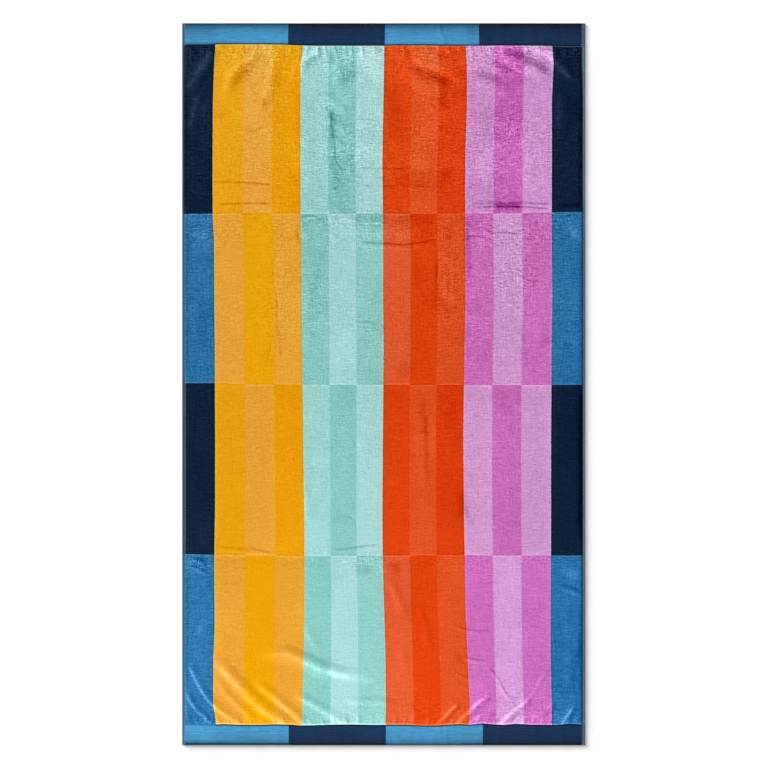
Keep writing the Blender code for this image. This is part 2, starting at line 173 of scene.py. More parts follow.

# Partings: narrow grooves where the pile opens or where the cloth was pressed, each with painted shade along it.
PARTINGS = (
    # name, depth mm, half width, painted shade, fade, path
    ("yellow_press_high", 0.9, 1.7, 0.26, 5, ((212, 181.5), (232, 182), (250, 182.4), (262, 184), (274, 184.4))),
    ("yellow_press_low", 1.0, 1.7, 0.32, 6, ((218, 204), (236, 203.4), (256, 203), (275, 203.4))),
    ("yellow_smile", 0.6, 1.6, 0.16, 6, ((246, 131), (252, 131.6), (258, 129.6), (265, 125))),
    ("yellow_tick", 0.6, 1.4, 0.10, 4, ((276, 117), (281, 119), (287, 118))),
    ("mint_long", 0.7, 1.25, 0.16, 8, ((331.5, 108), (331.8, 116), (332.2, 126), (333.2, 134), (335, 144), (335.5, 152.7), (335.6, 158), (338.4, 163.8), (341.8, 169.4), (344.4, 175.6))),
    ("mint_leaf_top", 0.8, 2.0, 0.10, 6, ((318, 97), (325, 92.4), (333, 92.6), (338, 95))),
    ("mint_leaf_bottom", 0.7, 1.3, 0.12, 5, ((330, 111), (334, 113), (344, 117.6), (350, 118.8), (356, 119.4))),
    ("mint_tick_a", 0.6, 1.3, 0.08, 4, ((333, 124.8), (345, 124.8), (356, 124.2))),
    ("mint_tick_b", 0.6, 1.3, 0.08, 6, ((358, 117.6), (370, 119.4), (384, 121.4))),
    ("mint_tick_c", 0.6, 1.3, 0.08, 5, ((339, 151.2), (348, 150.6), (358, 150))),
    ("mint_press_high", 0.9, 1.5, 0.2, 12, ((353, 168.4), (372, 167.8), (392, 168.2), (416, 168))),
    ("mint_press_low", 0.6, 1.5, 0.12, 18, ((353, 184.4), (384, 186), (412, 185.4), (440, 187))),
    ("mint_blot", 0.9, 1.8, 0.18, 5, ((332, 189), (336, 188), (341, 185.6))),
    ("orange_blot", 0.4, 2.0, 0.05, 5, ((438, 171), (444, 174.4), (449, 173.4), (454, 167))),
    ("orchid_press_high", 1.0, 1.3, 0.28, 6, ((470, 204), (476, 203.4), (492, 202.3), (508, 202.8), (523, 202.3), (537, 203.2), (551, 204))),
    ("orchid_press_low", 1.0, 1.25, 0.34, 7, ((474, 207.2), (492, 206.6), (508, 206.4), (523, 206.6), (542, 208), (551, 208.4))),
    ("orchid_arc", 0.7, 1.4, 0.10, 6, ((503, 198), (509, 195.6), (516, 195.8), (522, 198))),
    ("orchid_c_upper", 0.7, 1.4, 0.12, 4, ((515, 50), (520, 52), (526, 51))),
    ("orchid_tick", 0.6, 1.4, 0.10, 5, ((520, 175), (530, 173), (541, 175))),
    ("mint_cross", 0.9, 1.5, 0.24, 12, ((358, 241.6), (375, 242.6), (392, 243.6), (405, 244.6), (415, 243), (425, 242), (440, 238.4))),
    ("mint_arc_high", 1.0, 1.3, 0.3, 3, ((300.5, 218.4), (304, 216.6), (309, 215.4), (315, 216.4), (319, 218.2), (323, 221))),
    ("mint_arc_next", 0.9, 1.2, 0.24, 3, ((308, 220.6), (312, 219.8), (316, 219.4), (321, 220.4))),
    ("mint_whisker_a", 0.7, 1.1, 0.18, 2, ((322, 216), (324, 219.4), (326, 223))),
    ("mint_whisker_b", 0.7, 1.1, 0.16, 2, ((326, 215.6), (327.4, 219), (329, 222))),
    ("mint_upper_bar", 0.7, 1.4, 0.09, 10, ((356, 224.6), (372, 225.2), (388, 225))),
    ("yellow_bar", 0.6, 1.4, 0.10, 5, ((280, 235.6), (290, 237.4), (302, 236))),
    ("orchid_bar_left", 1.0, 1.3, 0.26, 5, ((463, 238.4), (467, 237), (473, 235.9), (480, 236.6), (487, 238.2))),
    ("orchid_bar_mid", 1.0, 1.3, 0.24, 5, ((484, 227.4), (488, 230), (493, 232.4), (500, 232.6), (509, 232.2), (514, 233.4), (522, 233.4))),
    ("orchid_bar_right", 0.7, 1.3, 0.14, 4, ((543, 240.4), (549, 239.4), (555, 237.8))),
    ("yellow_wave", 0.3, 1.5, 0.08, 14, ((272, 243), (275, 255), (273, 264), (274.6, 282), (277.4, 302), (277.7, 322), (281.6, 346), (279, 364))),
    ("yellow_wave_branch", 0.25, 1.5, 0.06, 10, ((272.7, 336), (270, 350), (266.6, 364), (263, 380))),
    ("mint_low_bar", 0.5, 1.4, 0.08, 6, ((354, 320.6), (365, 321.2), (379, 323))),
    ("orange_line", 0.6, 1.4, 0.09, 14, ((437, 248), (438, 264), (437, 280), (439, 292))),
    ("orchid_crackle", 0.7, 1.2, 0.14, 3, ((510, 271.6), (515, 273.2), (520, 275.6), (527, 279), (533, 281.2), (540, 281))),
    ("orange_upright", 0.15, 1.5, 0.02, 18, ((426, 410), (427.6, 436), (428, 462), (430, 490))),
    ("yellow_speck", 0.9, 1.3, 0.45, 0.6, ((293.2, 458.2), (293.7, 458.8), (294.2, 459.4))),
    ("mint_row_end", 1.1, 1.3, 0.26, 8, ((332, 550), (337, 549.6), (343, 549), (352, 548), (358, 546.8), (369, 545.4), (380, 544.6))),
    ("yellow_row_end", 0.8, 1.4, 0.12, 8, ((214, 545.4), (224, 546.6), (236, 547.8), (250, 547.6), (258, 549), (266, 551.4), (274, 552.4))),
    ("mint_row_blot", 0.5, 2.0, 0.08, 8, ((331, 520), (340, 516), (350, 517), (358, 521))),
    ("orchid_thin_high", 0.9, 1.3, 0.11, 8, ((456, 626), (462, 627.4), (469, 629), (480, 630.2), (494, 629.4))),
    ("orchid_thin_mid", 0.9, 1.3, 0.14, 5, ((464, 656), (472, 658), (480, 660), (488, 660))),
    ("orchid_hook", 0.8, 1.4, 0.12, 8, ((485, 667.6), (493, 670.6), (497, 676), (501, 682), (505, 690), (508, 695), (514, 701))),
    ("orchid_thin_low", 0.6, 1.3, 0.09, 5, ((457, 672.6), (466, 676), (473, 677))),
    ("orange_v", 0.6, 1.6, 0.08, 4, ((412.6, 702), (415.6, 707), (419, 710.4), (424, 711.6))),
    ("orange_bar", 0.5, 1.3, 0.08, 6, ((405, 585.6), (414, 588), (426, 588.6))),
    ("blue_right_line", 0.9, 1.5, 0.16, 8, ((560, 585), (568, 586), (576, 588.4), (583, 590.6))),
    ("blue_right_low", 0.4, 1.2, 0.08, 8, ((552, 691.6), (565, 692), (582, 691.6))),
    ("blue_left_line_a", 0.5, 1.4, 0.08, 5, ((187, 557.6), (192, 559.6), (199, 557.4), (205, 559))),
    ("blue_left_line_b", 0.5, 1.4, 0.07, 5, ((186, 566.4), (191, 564.8), (197, 566.4), (204, 571))),
    ("yellow_line_bottom", 0.4, 1.2, 0.06, 14, ((215, 568), (240, 567), (272, 569))),
)

# Broad places made lighter (above 0) or darker: painted light and shade of the folds, the edges and the rows, together
# with nap that lies another way.
NAP_AND_PAINTED_SHADE = (
    # name, lightness, half width, fade, path
    ("yellow_upper_dark", -0.15, 8.5, 16, ((260, 60), (251, 66), (241, 74), (233, 82), (226, 91))),
    ("yellow_upper_light", 0.05, 5, 14, ((222, 82), (230, 70), (240, 60), (252, 52))),
    ("yellow_soft_dark", -0.12, 5, 12, ((212, 121), (222, 116), (232, 110))),
    ("yellow_fall_dark", -0.05, 4, 16, ((281, 58), (277, 78), (274, 92))),
    ("yellow_blot_dark", -0.2, 3.2, 8, ((266, 94), (265, 104), (266, 114))),
    ("yellow_fall_light", 0.03, 8, 12, ((262, 60), (258, 84), (252, 106), (254, 120))),
    ("mint_rough", -0.12, 8, 12, ((346, 60), (349, 72), (346, 88))),
    ("mint_seam_dark", -0.16, 4, 6, ((329, 52), (332, 58), (331, 66))),
    ("mint_triangle", -0.08, 8, 16, ((334, 130), (337, 160), (342, 196))),
    ("mint_dark_root", -0.24, 3.2, 8, ((331, 108), (332, 118), (332.6, 128), (334, 138))),
    ("mint_crinkle", 0.0, 4.5, 6, ((326, 94), (325, 106), (325, 118))),
    ("mint_dark_knot", -0.17, 3.0, 4, ((329, 133), (334, 136), (338, 138.6))),
    ("mint_knot_low", -0.13, 2.0, 2, ((331, 189), (334.5, 187.6), (337, 186))),
    ("mint_knot_side", -0.12, 1.5, 2, ((353.6, 193), (354, 195.6), (354, 197.5))),
    ("mint_dark_tail", -0.07, 3.4, 12, ((332, 150), (334, 166), (338, 182))),
    ("mint_beside_parting", 0.015, 4.5, 8, ((337, 140), (344, 150), (352, 160))),
    ("mint_leaf_light", 0.04, 6, 7, ((328, 88), (338, 97), (350, 108))),
    ("mint_left_dark", -0.14, 3.6, 12, ((299, 70), (307, 63), (315, 58), (323, 55))),
    ("mint_top_light", 0.08, 9, 14, ((362, 58), (372, 66), (380, 84))),
    ("mint_herring", -0.025, 7, 16, ((322, 250), (313, 276), (308, 300), (309, 326))),
    ("mint_row_two_top", -0.075, 8, 24, ((336, 218), (360, 219), (384, 219), (400, 219))),
    ("orange_row_two_top", -0.08, 8, 20, ((386, 221), (404, 221), (424, 220), (446, 220))),
    ("mint_under_cross", 0.05, 4, 20, ((330, 234), (360, 233), (392, 235), (420, 234))),
    ("orange_upper_dark", -0.14, 4.5, 12, ((409, 62), (420, 69), (432, 75), (446, 82), (453, 86))),
    ("orange_upper_light", 0.08, 7, 12, ((418, 50), (436, 62), (456, 70))),
    ("orange_between_light", 0.03, 5, 12, ((402, 76), (416, 88), (434, 94))),
    ("orange_patch", -0.13, 6, 10, ((441, 88), (443, 99), (442, 112))),
    ("orange_patch_low", -0.12, 8, 10, ((440, 168), (447, 174), (452, 170))),
    ("orange_low_dark", -0.06, 14, 26, ((390, 176), (420, 180), (458, 190))),
    ("orchid_upper_dark", -0.21, 5.2, 12, ((500, 50), (518, 55), (536, 63), (552, 74))),
    ("orchid_upper_dark_low", -0.17, 4.6, 9, ((473, 70), (482, 74), (492, 77), (504, 82))),
    ("orchid_upper_dark_mid", -0.16, 3.2, 8, ((487, 63), (498, 65), (508, 68), (515, 71))),
    ("orchid_upper_light", 0.05, 5, 14, ((524, 47), (544, 51), (556, 62), (572, 80))),
    ("orchid_patch", -0.08, 5, 10, ((498, 104), (500, 114), (499, 124))),
    ("orchid_patch_right", -0.03, 7, 10, ((505, 112), (518, 112), (528, 118))),
    ("orchid_low_light", 0.03, 20, 20, ((480, 150), (508, 160), (540, 170))),
    ("orchid_low_light_left", 0.06, 8, 14, ((476, 144), (482, 160), (484, 176), (482, 188))),
    ("orchid_press_dark", -0.2, 4.2, 5, ((493, 206), (508, 206), (522, 206))),
    ("navy_press_dark", -0.12, 2.2, 3, ((555, 204.4), (568, 204.4), (582, 204.4))),
    ("orchid_row_two_left", -0.13, 3.0, 12, ((467.5, 214), (467.5, 234), (468, 258), (468.5, 282))),
    ("orange_top_left", -0.05, 10, 14, ((388, 80), (396, 110), (392, 150))),
    ("navy_right_dark", -0.04, 6, 16, ((572, 92), (573, 110), (570, 130))),
    ("navy_left_light", 0.08, 5, 14, ((190, 78), (198, 66), (206, 54))),
    ("navy_left_fall", 0.07, 5, 16, ((206, 92), (202, 108), (198, 128))),
    ("blue_row_two_light", 0.03, 12, 16, ((192, 224), (200, 240), (202, 262))),
    ("blue_row_two_dark", -0.04, 9, 16, ((206, 300), (204, 324), (206, 356))),
    ("blue_right_row_two", 0.05, 8, 14, ((572, 218), (575, 232), (572, 250))),
    ("yellow_row_two_dark", -0.17, 2.6, 10, ((297.6, 224), (297.6, 236), (299, 248))),
    ("yellow_wave_tick", -0.07, 1.6, 4, ((275.4, 247), (276, 254), (275, 261))),
    ("yellow_wave_shade", -0.06, 1.7, 6, ((276.4, 300), (276.8, 309), (277, 318))),
    ("yellow_wave_low", -0.05, 2.4, 8, ((277.5, 320), (278, 328), (279, 336))),
    ("yellow_wave_end", -0.06, 1.7, 5, ((281.4, 345), (281.8, 352), (281, 360))),
    ("yellow_tick_right", -0.05, 1.2, 3, ((296, 304), (298, 306), (300, 307))),
    ("orchid_row_two_blot", -0.09, 4, 7, ((538, 334), (544, 340), (547, 348))),
    ("orange_row_two_seam", -0.08, 2.4, 22, ((435.6, 246), (436, 266), (436.2, 290), (435, 322))),
    ("orange_row_two_shade", -0.05, 3.0, 12, ((418, 258), (418, 276), (420, 300))),
    ("orange_row_two_dash", -0.10, 1.5, 5, ((444.5, 298), (445, 307), (445, 314))),
    ("orange_row_two_dash_low", -0.10, 1.5, 5, ((448.5, 306), (449, 316), (449, 325))),
    ("orange_row_two_dash_right", -0.08, 1.3, 4, ((452.5, 310), (452.8, 316), (452.6, 323))),
    ("orange_row_two_dash_high", -0.07, 1.5, 5, ((448, 272), (448.4, 282), (448, 291))),
    ("orange_row_two_spark", 0.08, 2.6, 4, ((443, 257), (445, 260), (445, 264))),
    ("orange_row_two_brown", -0.04, 7, 8, ((444, 226), (450, 234), (448, 244))),
    ("orange_row_two_end", -0.07, 9, 12, ((392, 366), (404, 370), (418, 374))),
    ("row_three_top", -0.022, 12, 60, ((210, 394), (384, 396), (560, 395))),
    ("orchid_row_three_smear", -0.10, 2.4, 6, ((466, 504), (467, 512), (468, 520))),
    ("orchid_row_three_smear_low", -0.08, 1.6, 3, ((469, 518), (471, 521), (472, 525))),
    ("row_three_low", 0.018, 18, 60, ((210, 540), (384, 542), (560, 541))),
    ("orange_row_three_streak", -0.04, 3.0, 16, ((420, 390), (423, 408), (425, 430), (426, 450))),
    ("orange_row_three_side", -0.05, 4, 18, ((446, 394), (450, 416), (452, 442))),
    ("orange_row_three_blot", -0.13, 4.4, 14, ((459, 482), (461, 500), (464, 522))),
    ("row_one_top", 0.055, 26, 60, ((200, 56), (384, 54), (560, 56))),
    ("row_one_low", -0.020, 26, 60, ((200, 190), (330, 192), (450, 190))),
    ("row_four_line", -0.03, 5, 22, ((186, 560), (240, 562), (300, 562), (350, 563))),
    ("mint_row_four_rough", -0.12, 4.0, 12, ((352, 564), (358, 567), (368, 570), (376, 568))),
    ("mint_row_four_left", -0.03, 7, 14, ((312, 574), (336, 576), (352, 570))),
    ("orange_row_four_top", -0.13, 5, 9, ((386, 560), (394, 566), (404, 568))),
    ("orange_row_four_side", -0.05, 3.4, 14, ((392, 572), (398, 590), (406, 610), (412, 624))),
    ("orange_row_four_low", -0.06, 3.4, 14, ((408, 596), (418, 618), (424, 640))),
    ("orchid_row_four_line", -0.06, 4, 12, ((468, 586), (480, 580), (494, 584))),
    ("orchid_row_four_dark", -0.07, 4, 9, ((456, 648), (460, 658), (463, 668))),
    ("blue_left_light", 0.14, 5, 6, ((196, 634), (202, 628), (206, 622))),
    ("blue_left_row_four", -0.07, 4, 8, ((190, 562), (198, 561), (208, 563))),
    ("blue_right_light", 0.12, 6, 9, ((564, 566), (572, 574), (578, 582))),
    ("blue_right_dark", -0.08, 3.0, 16, ((580, 636), (579.5, 652), (579, 668))),
    ("corner_right_low", 0.09, 5, 4, ((553, 720), (560, 720), (567, 719))),
    ("corner_right_light", 0.05, 5, 8, ((560, 722), (567, 714), (575, 705))),
    ("right_edge", -0.060, 3.4, 30, ((580.5, 226), (580.5, 320), (580.5, 420), (580.5, 552))),
    ("right_edge_row_one", -0.08, 2.6, 20, ((580.8, 50), (580.8, 120), (580.8, 208))),
    ("right_edge_row_three", -0.07, 2.6, 14, ((580.8, 388), (580.8, 470), (580.8, 552))),
    ("left_edge_row_one", -0.05, 2.0, 14, ((185.6, 78), (185.6, 140), (185.6, 208))),
    ("orange_row_three_spot", -0.07, 3.0, 6, ((420, 402), (423, 412), (424, 421))),
    ("mint_line_upper", 0.09, 1.0, 3, ((338, 219), (347, 219), (356, 219.4))),
    ("mint_line_next", 0.11, 1.0, 4, ((356, 223), (370, 223.4), (384, 223.2))),
    ("left_edge_row_two", -0.06, 3.4, 14, ((186, 212), (186, 260), (186, 320), (186, 382))),
    ("orchid_upper_shade", -0.05, 7, 10, ((504, 84), (520, 80), (536, 79), (548, 84))),
    ("orchid_left_shade", -0.06, 5, 8, ((462, 93), (472, 95), (482, 98))),
    ("orchid_left_shade_low", -0.06, 6, 8, ((478, 110), (488, 114), (497, 116))),
    ("yellow_third_dark", -0.05, 4, 8, ((283, 50), (280, 58), (276, 66))),
    ("left_edge_row_four", -0.060, 3.4, 14, ((186, 570), (186, 630), (186, 690))),
    ("right_edge_row_four", -0.050, 3.0, 14, ((580.5, 600), (580.5, 650), (580.5, 700))),
    ("mint_arc_pale", 0.04, 5.0, 12, ((306, 668), (322, 673), (340, 678), (360, 680), (378, 681))),
    ("mint_arc_light", 0.22, 1.0, 4, ((303, 221.6), (306.4, 219.8), (310, 218.4), (314, 217.8), (321, 218.8))),
    ("orange_row_three_line", -0.09, 1.6, 6, ((425.6, 412), (426.4, 424), (426, 438))),
    ("orange_row_three_line_low", -0.05, 1.9, 10, ((426, 442), (426.6, 456), (426, 472))),
    ("orange_row_three_light", 0.035, 2.2, 12, ((431, 426), (431, 444), (431.4, 462))),
    ("orange_row_three_light_left", 0.03, 2.6, 12, ((414, 430), (415, 446), (414, 466))),
    ("orange_row_three_band", -0.05, 3.8, 20, ((453.4, 400), (454, 430), (455, 462))),
    ("orange_row_three_band_left", -0.035, 2.0, 14, ((444, 404), (444, 424), (445, 446))),
    ("orange_row_three_rim", 0.035, 2.0, 16, ((461.4, 400), (461.6, 440), (462, 474))),
    ("orange_long_dark", -0.03, 6, 18, ((424, 412), (427, 448), (430, 488))),
)

# Dye and wear differ a little between blocks of one yarn: row, first and last stripe from the left (the sides are 0 and 13), lightness.
BLOCK_TONES = (
    ("gold_row_one", 1, 1, 3, 0.040),
    ("mint_row_one_right", 1, 6, 6, 0.025),
    ("orange_row_one", 1, 7, 9, 0.030),
    ("orchid_row_one_left", 1, 10, 10, -0.025),
    ("orchid_row_one_right", 1, 12, 12, 0.015),
    ("blue_row_two_left", 2, 0, 0, 0.010),
    ("gold_row_three", 3, 1, 2, -0.028),
    ("orchid_row_three", 3, 11, 12, -0.020),
    ("navy_row_three_right", 3, 13, 13, -0.015),
    ("blue_row_four_left", 4, 0, 0, 0.014),
    ("gold_row_four", 4, 1, 3, -0.034),
    ("mint_row_four", 4, 6, 6, 0.020),
    ("orchid_row_four", 4, 11, 11, 0.026),
)

# Dye lots that differ in hue as well: row, first and last stripe, red, green and blue to add.
TINTS = (
    ("gold_row_one", 1, 1, 3, 0.004, -0.008, 0.0),
    ("orchid_row_one", 1, 10, 12, 0.0, -0.028, 0.0),
    ("orchid_row_four", 4, 10, 12, 0.0, -0.006, 0.018),
    ("blue_row_four_right", 4, 13, 13, -0.015, -0.006, 0.012),
)

# How rough the cloth is in broad places: x, y, reach across, reach down, amount.
ROUGH = (
    (384, 40, 420, 60, 0.55),
    (348, 74, 22, 26, 0.22),
    (348, 160, 34, 60, 0.22),
    (325, 106, 10, 18, 0.30),
    (512, 124, 22, 30, 0.25),
    (440, 90, 40, 46, 0.20),
    (262, 80, 50, 50, 0.20),
    (384, 150, 420, 95, 0.30),
    (384, 228, 420, 34, 0.28),
    (450, 280, 34, 60, 0.22),
    (313, 290, 24, 60, 0.20),
    (275, 300, 40, 90, 0.18),
    (282, 276, 12, 34, 0.10),
    (515, 270, 44, 60, 0.20),
    (384, 561, 420, 16, 0.12),
    (366, 564, 42, 14, 0.12),
    (198, 565, 18, 14, 0.25),
    (384, 715, 420, 26, 0.12),
    (384, 640, 420, 90, 0.02),
    (520, 700, 60, 40, 0.08),
    (384, 300, 420, 90, 0.07),
    (384, 400, 420, 200, 0.10),
)

# Gathers that the hems' stitching pulls into the cloth beside it: x, height mm, half width, reach into the cloth, lean.
UPPER_GATHERS = (
    (192, 0.7, 2.6, 10, 0.1), (204, 0.6, 2.4, 9, -0.2), (221, 0.5, 2.6, 9, 0.0), (231, 0.6, 2.4, 8, 0.1), (243, 0.5, 2.2, 9, -0.1),
    (257, 0.7, 2.8, 13, -0.25), (266, 0.5, 2.0, 8, 0.0), (273, 0.4, 2.2, 13, -0.2), (283, 0.3, 2.2, 9, 0.0), (292, 0.4, 2.6, 13, -0.15),
    (300, 0.4, 2.0, 8, 0.1), (308, 1.1, 2.6, 12, -0.2), (318, 0.9, 2.0, 11, 0.0), (325, 0.9, 2.0, 10, 0.1), (334, 0.7, 2.2, 11, 0.2),
    (345, 0.9, 2.2, 11, 0.1), (352, 0.9, 2.0, 11, -0.1), (362, 0.9, 2.4, 10, 0.1), (374, 0.6, 2.4, 9, 0.0), (391, 0.5, 2.6, 8, 0.1),
    (403, 0.7, 2.6, 11, 0.3), (414, 0.5, 2.2, 8, 0.2), (427, 0.6, 2.6, 9, 0.2), (439, 0.7, 2.2, 10, -0.1), (449, 0.6, 2.2, 9, 0.0),
    (459, 0.5, 2.4, 8, 0.1), (471, 0.7, 2.2, 10, 0.1), (480, 0.6, 2.0, 8, 0.0), (490, 0.7, 2.4, 10, 0.2), (502, 0.7, 2.2, 9, 0.2),
    (513, 0.8, 2.4, 8, 0.3), (526, 0.6, 2.2, 8, 0.2), (538, 0.5, 2.4, 7, 0.2), (556, 0.7, 2.2, 9, 0.0), (566, 0.8, 2.4, 12, -0.1), (575, 0.6, 2.0, 9, 0.0),
)
LOWER_GATHERS = (
    (190, 1.1, 1.8, 9, -0.2), (198, 0.7, 1.7, 8, -0.2), (205, 0.8, 1.7, 9, 0.2), (211, 1.0, 1.7, 9, 0.3), (221, 0.7, 2.0, 7, -0.6), (230, 0.6, 2.0, 7, -0.6),
    (241, 0.6, 2.2, 7, -0.6), (253, 0.8, 2.2, 8, -0.7), (265, 0.6, 2.0, 6, -0.6), (276, 0.6, 2.0, 6, -0.6), (286, 0.7, 2.0, 7, -0.6), (312, 0.7, 2.2, 7, -0.5),
    (324, 0.7, 2.2, 8, -0.4), (335, 0.8, 2.2, 9, -0.3), (347, 0.8, 2.6, 9, -0.2), (359, 0.8, 2.4, 9, 0.0), (371, 0.5, 2.4, 8, 0.1), (383, 0.6, 2.4, 8, 0.2),
    (395, 0.7, 2.2, 8, 0.2), (404, 0.6, 2.0, 7, 0.4), (427, 0.6, 2.2, 7, 0.5), (451, 0.6, 1.8, 7, 0.6), (476, 0.8, 2.0, 8, 0.6), (486, 0.8, 2.0, 9, 0.5),
    (494, 0.6, 1.8, 8, 0.5), (515, 0.8, 2.0, 8, 0.6), (523, 0.7, 1.8, 7, 0.5), (532, 0.8, 2.0, 8, 0.4), (541, 0.8, 2.0, 8, 0.4), (549, 0.7, 1.8, 8, 0.5),
    (568, 0.8, 2.0, 9, 0.4), (576, 0.8, 1.8, 9, 0.4),
)

# Soft upright wrinkles across the hems: x at the outer edge, x at the seam, height mm, half width.
UPPER_HEM_WRINKLES = ((206, 205, 0.15, 6), (252, 256, 0.20, 5), (293, 289, 0.30, 5), (303, 300, 0.25, 4), (331, 329, 0.15, 6), (378, 381, 0.30, 4), (402, 398, 0.15, 6), (438, 446, 0.55, 3.2), (449, 441, 0.35, 3.4), (466, 468, 0.15, 5), (502, 499, 0.20, 6), (531, 535, 0.25, 4), (566, 563, 0.30, 3.4))
LOWER_HEM_WRINKLES = ((212, 209, 0.20, 5), (243, 240, 0.15, 6), (276, 281, 0.25, 4), (318, 312, 0.25, 4), (352, 350, 0.15, 6), (409, 412, 0.25, 4), (433, 440, 0.35, 4), (462, 461, 0.25, 4), (497, 501, 0.20, 4), (536, 531, 0.15, 6), (561, 558, 0.25, 4))

# Yarn colours as they look in even light, 0 to 255. Each stripe of three has its own dye lot, so left and right differ a little.
COLOURS = {
    "navy": (16, 35, 58),
    "blue": (42, 112, 164),
    "gold": (235, 163, 18),
    "gold_right": (236, 155, 3),
    "gold_middle": (236, 164, 9),
    "gold_pale": (234, 163, 57),
    "gold_pale_right": (234, 163, 52),
    "mint": (158, 213, 211),
    "mint_right": (165, 215, 214),
    "mint_deep": (135, 200, 194),
    "mint_deep_right": (139, 202, 196),
    "orange": (223, 66, 9),
    "orange_right": (219, 60, 8),
    "orange_pale": (227, 89, 47),
    "orange_pale_right": (223, 81, 32),
    "orchid": (209, 152, 205),
    "orchid_deep": (204, 110, 186),
    "hem_blue": (66, 142, 188),
    "hem_navy": (21, 47, 81),
    "thread_blue": (52, 104, 146),
    "thread_navy": (20, 38, 64),
    "thread_pale": (134, 160, 192),
    # the selvedge tapes: at the rim, beside the pile, where painted shade of the pile's edge darkens them, and on the
    # right in the groove at the pile's root, whose colours are painted shade
    "left_rim_hem": (62, 92, 116),
    "left_rim_navy": (60, 73, 83),
    "left_rim_blue": (64, 91, 107),
    "left_inner_hem": (72, 114, 144),
    "left_inner_navy": (32, 42, 55),
    "left_inner_navy_low": (72, 86, 99),
    "left_inner_blue": (69, 109, 135),
    "right_rim_hem": (84, 104, 118),
    "right_rim_navy": (97, 123, 131),
    "right_rim_blue": (94, 117, 131),
    "right_inner_hem": (62, 88, 111),
    "right_inner_navy": (38, 61, 76),
    "right_inner_blue": (36, 74, 103),
    "right_root_hem": (26, 54, 82),
    "right_root_navy": (6, 15, 28),
    "right_root_blue": (32, 82, 120),
}
# How lively the surface of each yarn's pile is.
GRAIN = {
    "navy": 0.56, "blue": 1.4, "gold": 0.62, "gold_right": 0.68, "gold_middle": 0.48, "gold_pale": 0.72, "gold_pale_right": 0.62, "mint": 0.80, "mint_right": 0.75,
    "mint_deep": 0.76, "mint_deep_right": 0.85, "orange": 0.6, "orange_right": 0.68, "orange_pale": 0.64, "orange_pale_right": 0.72, "orchid": 1.18, "orchid_deep": 1.2,
}
# Display values that each part of the pile's surface adds, either way; the row and cord values are painted light and
# shade on the sides of the tufts.
SPECK, ACROSS, ALONG, ROW_SHADING, CORD_SHADING, RIBS, CRACKLE, PATCH, STREAK, BAR = 0.085, 0.18, 0.09, 0.19, 0.10, 0.024, 0.03, 0.055, 0.019, 0.023
# painted light and shade of the slopes, and the painted highlight on the folds' lit shoulders
SLOPE_HIGHLIGHT, SLOPE_SHADE, SHOULDER_HIGHLIGHT = 0.25, 0.13, 0.105
FACE_ONE_THREE = ("navy", "gold", "gold_pale", "gold_right", "mint", "mint_deep", "mint_right", "orange", "orange_pale_right", "orange_right", "orchid", "orchid_deep", "orchid", "navy")
FACE_TWO_FOUR = ("blue", "gold_pale", "gold_middle", "gold_pale_right", "mint_deep", "mint_right", "mint_deep_right", "orange_pale", "orange", "orange_pale_right", "orchid_deep", "orchid", "orchid_deep", "blue")
HEM_BLOCKS = {"upper": (286.9, 384.1, 478.7), "lower": (288.6, 383.6, 479.7)}
SKY_SHARE, KEY_SHARE = 0.40, 0.44  # how much of the light on level cloth is the room's and how much the key lamp's
MINGLE = 1.8  # half the width of the zone where tufts of two yarns mingle, in units of the photograph's frame
NEAR_SHARE = 0.17  # what a closer lamp past the lower end adds there
LIGHT = SKY_SHARE + KEY_SHARE + 0.5 * NEAR_SHARE
FLOOR_LAMPS = ((0.060, 19.5, 4), (0.108, 12.6, 3), (0.113, 9.3, 2), (0.104, 7.2, 1.6), (0.084, 5.6, 1.4), (0.052, 4.4, 1.2), (0.014, 3.6, 1.0))


# ---------------------------------------------------------------- the lattice the cloth is cut on


def stripe_lines():
    """The nominal x of every colour change, selvedges left out."""
    lines = [COLUMN_LINES[0]]
    for left, right, thirds in zip(COLUMN_LINES, COLUMN_LINES[1:], THIRDS):
        lines += [left + (right - left) * t for t in thirds] + [right]
    return lines


def fine_line(bands):
    """Fine positions from (start, end, base cells, which end is dense) bands; each base cell holds FINE steps."""
    places = [bands[0][0]]
    for start, end, cells, dense in bands:
        for cell in range(cells):
            a = start + (end - start) * cell / cells
            b = start + (end - start) * (cell + 1) / cells
            t = np.arange(1, FINE + 1) / FINE
            if dense in ("start", "both") and cell == 0:
                t = t**1.55
            elif dense in ("end", "both") and cell == cells - 1:
                t = 1 - (1 - t) ** 1.55
            places += list(a + (b - a) * t)
    return np.array(places)


def smooth(t):
    t = np.clip(t, 0.0, 1.0)
    return t * t * (3 - 2 * t)


def bell(t):
    return np.clip(1 - t * t, 0.0, None) ** 2


def rounded(t):
    t = np.clip(t, 0.0, 1.0)
    return np.sqrt(np.clip(1 - (1 - t) ** 2, 0.0, 1.0))


def soft_noise(x, y, wide, tall, seed):
    """Smooth noise from -1 to 1 whose features are about wide by tall."""
    table = np.random.default_rng(seed).uniform(-1, 1, (64, 64))
    gx, gy = x / wide + 7.3 * seed, y / tall + 3.1 * seed
    ix, iy = np.floor(gx).astype(int), np.floor(gy).astype(int)
    fx, fy = smooth(gx - ix), smooth(gy - iy)
    low = table[ix % 64, iy % 64] * (1 - fx) + table[(ix + 1) % 64, iy % 64] * fx
    high = table[ix % 64, (iy + 1) % 64] * (1 - fx) + table[(ix + 1) % 64, (iy + 1) % 64] * fx
    return low * (1 - fy) + high * fy


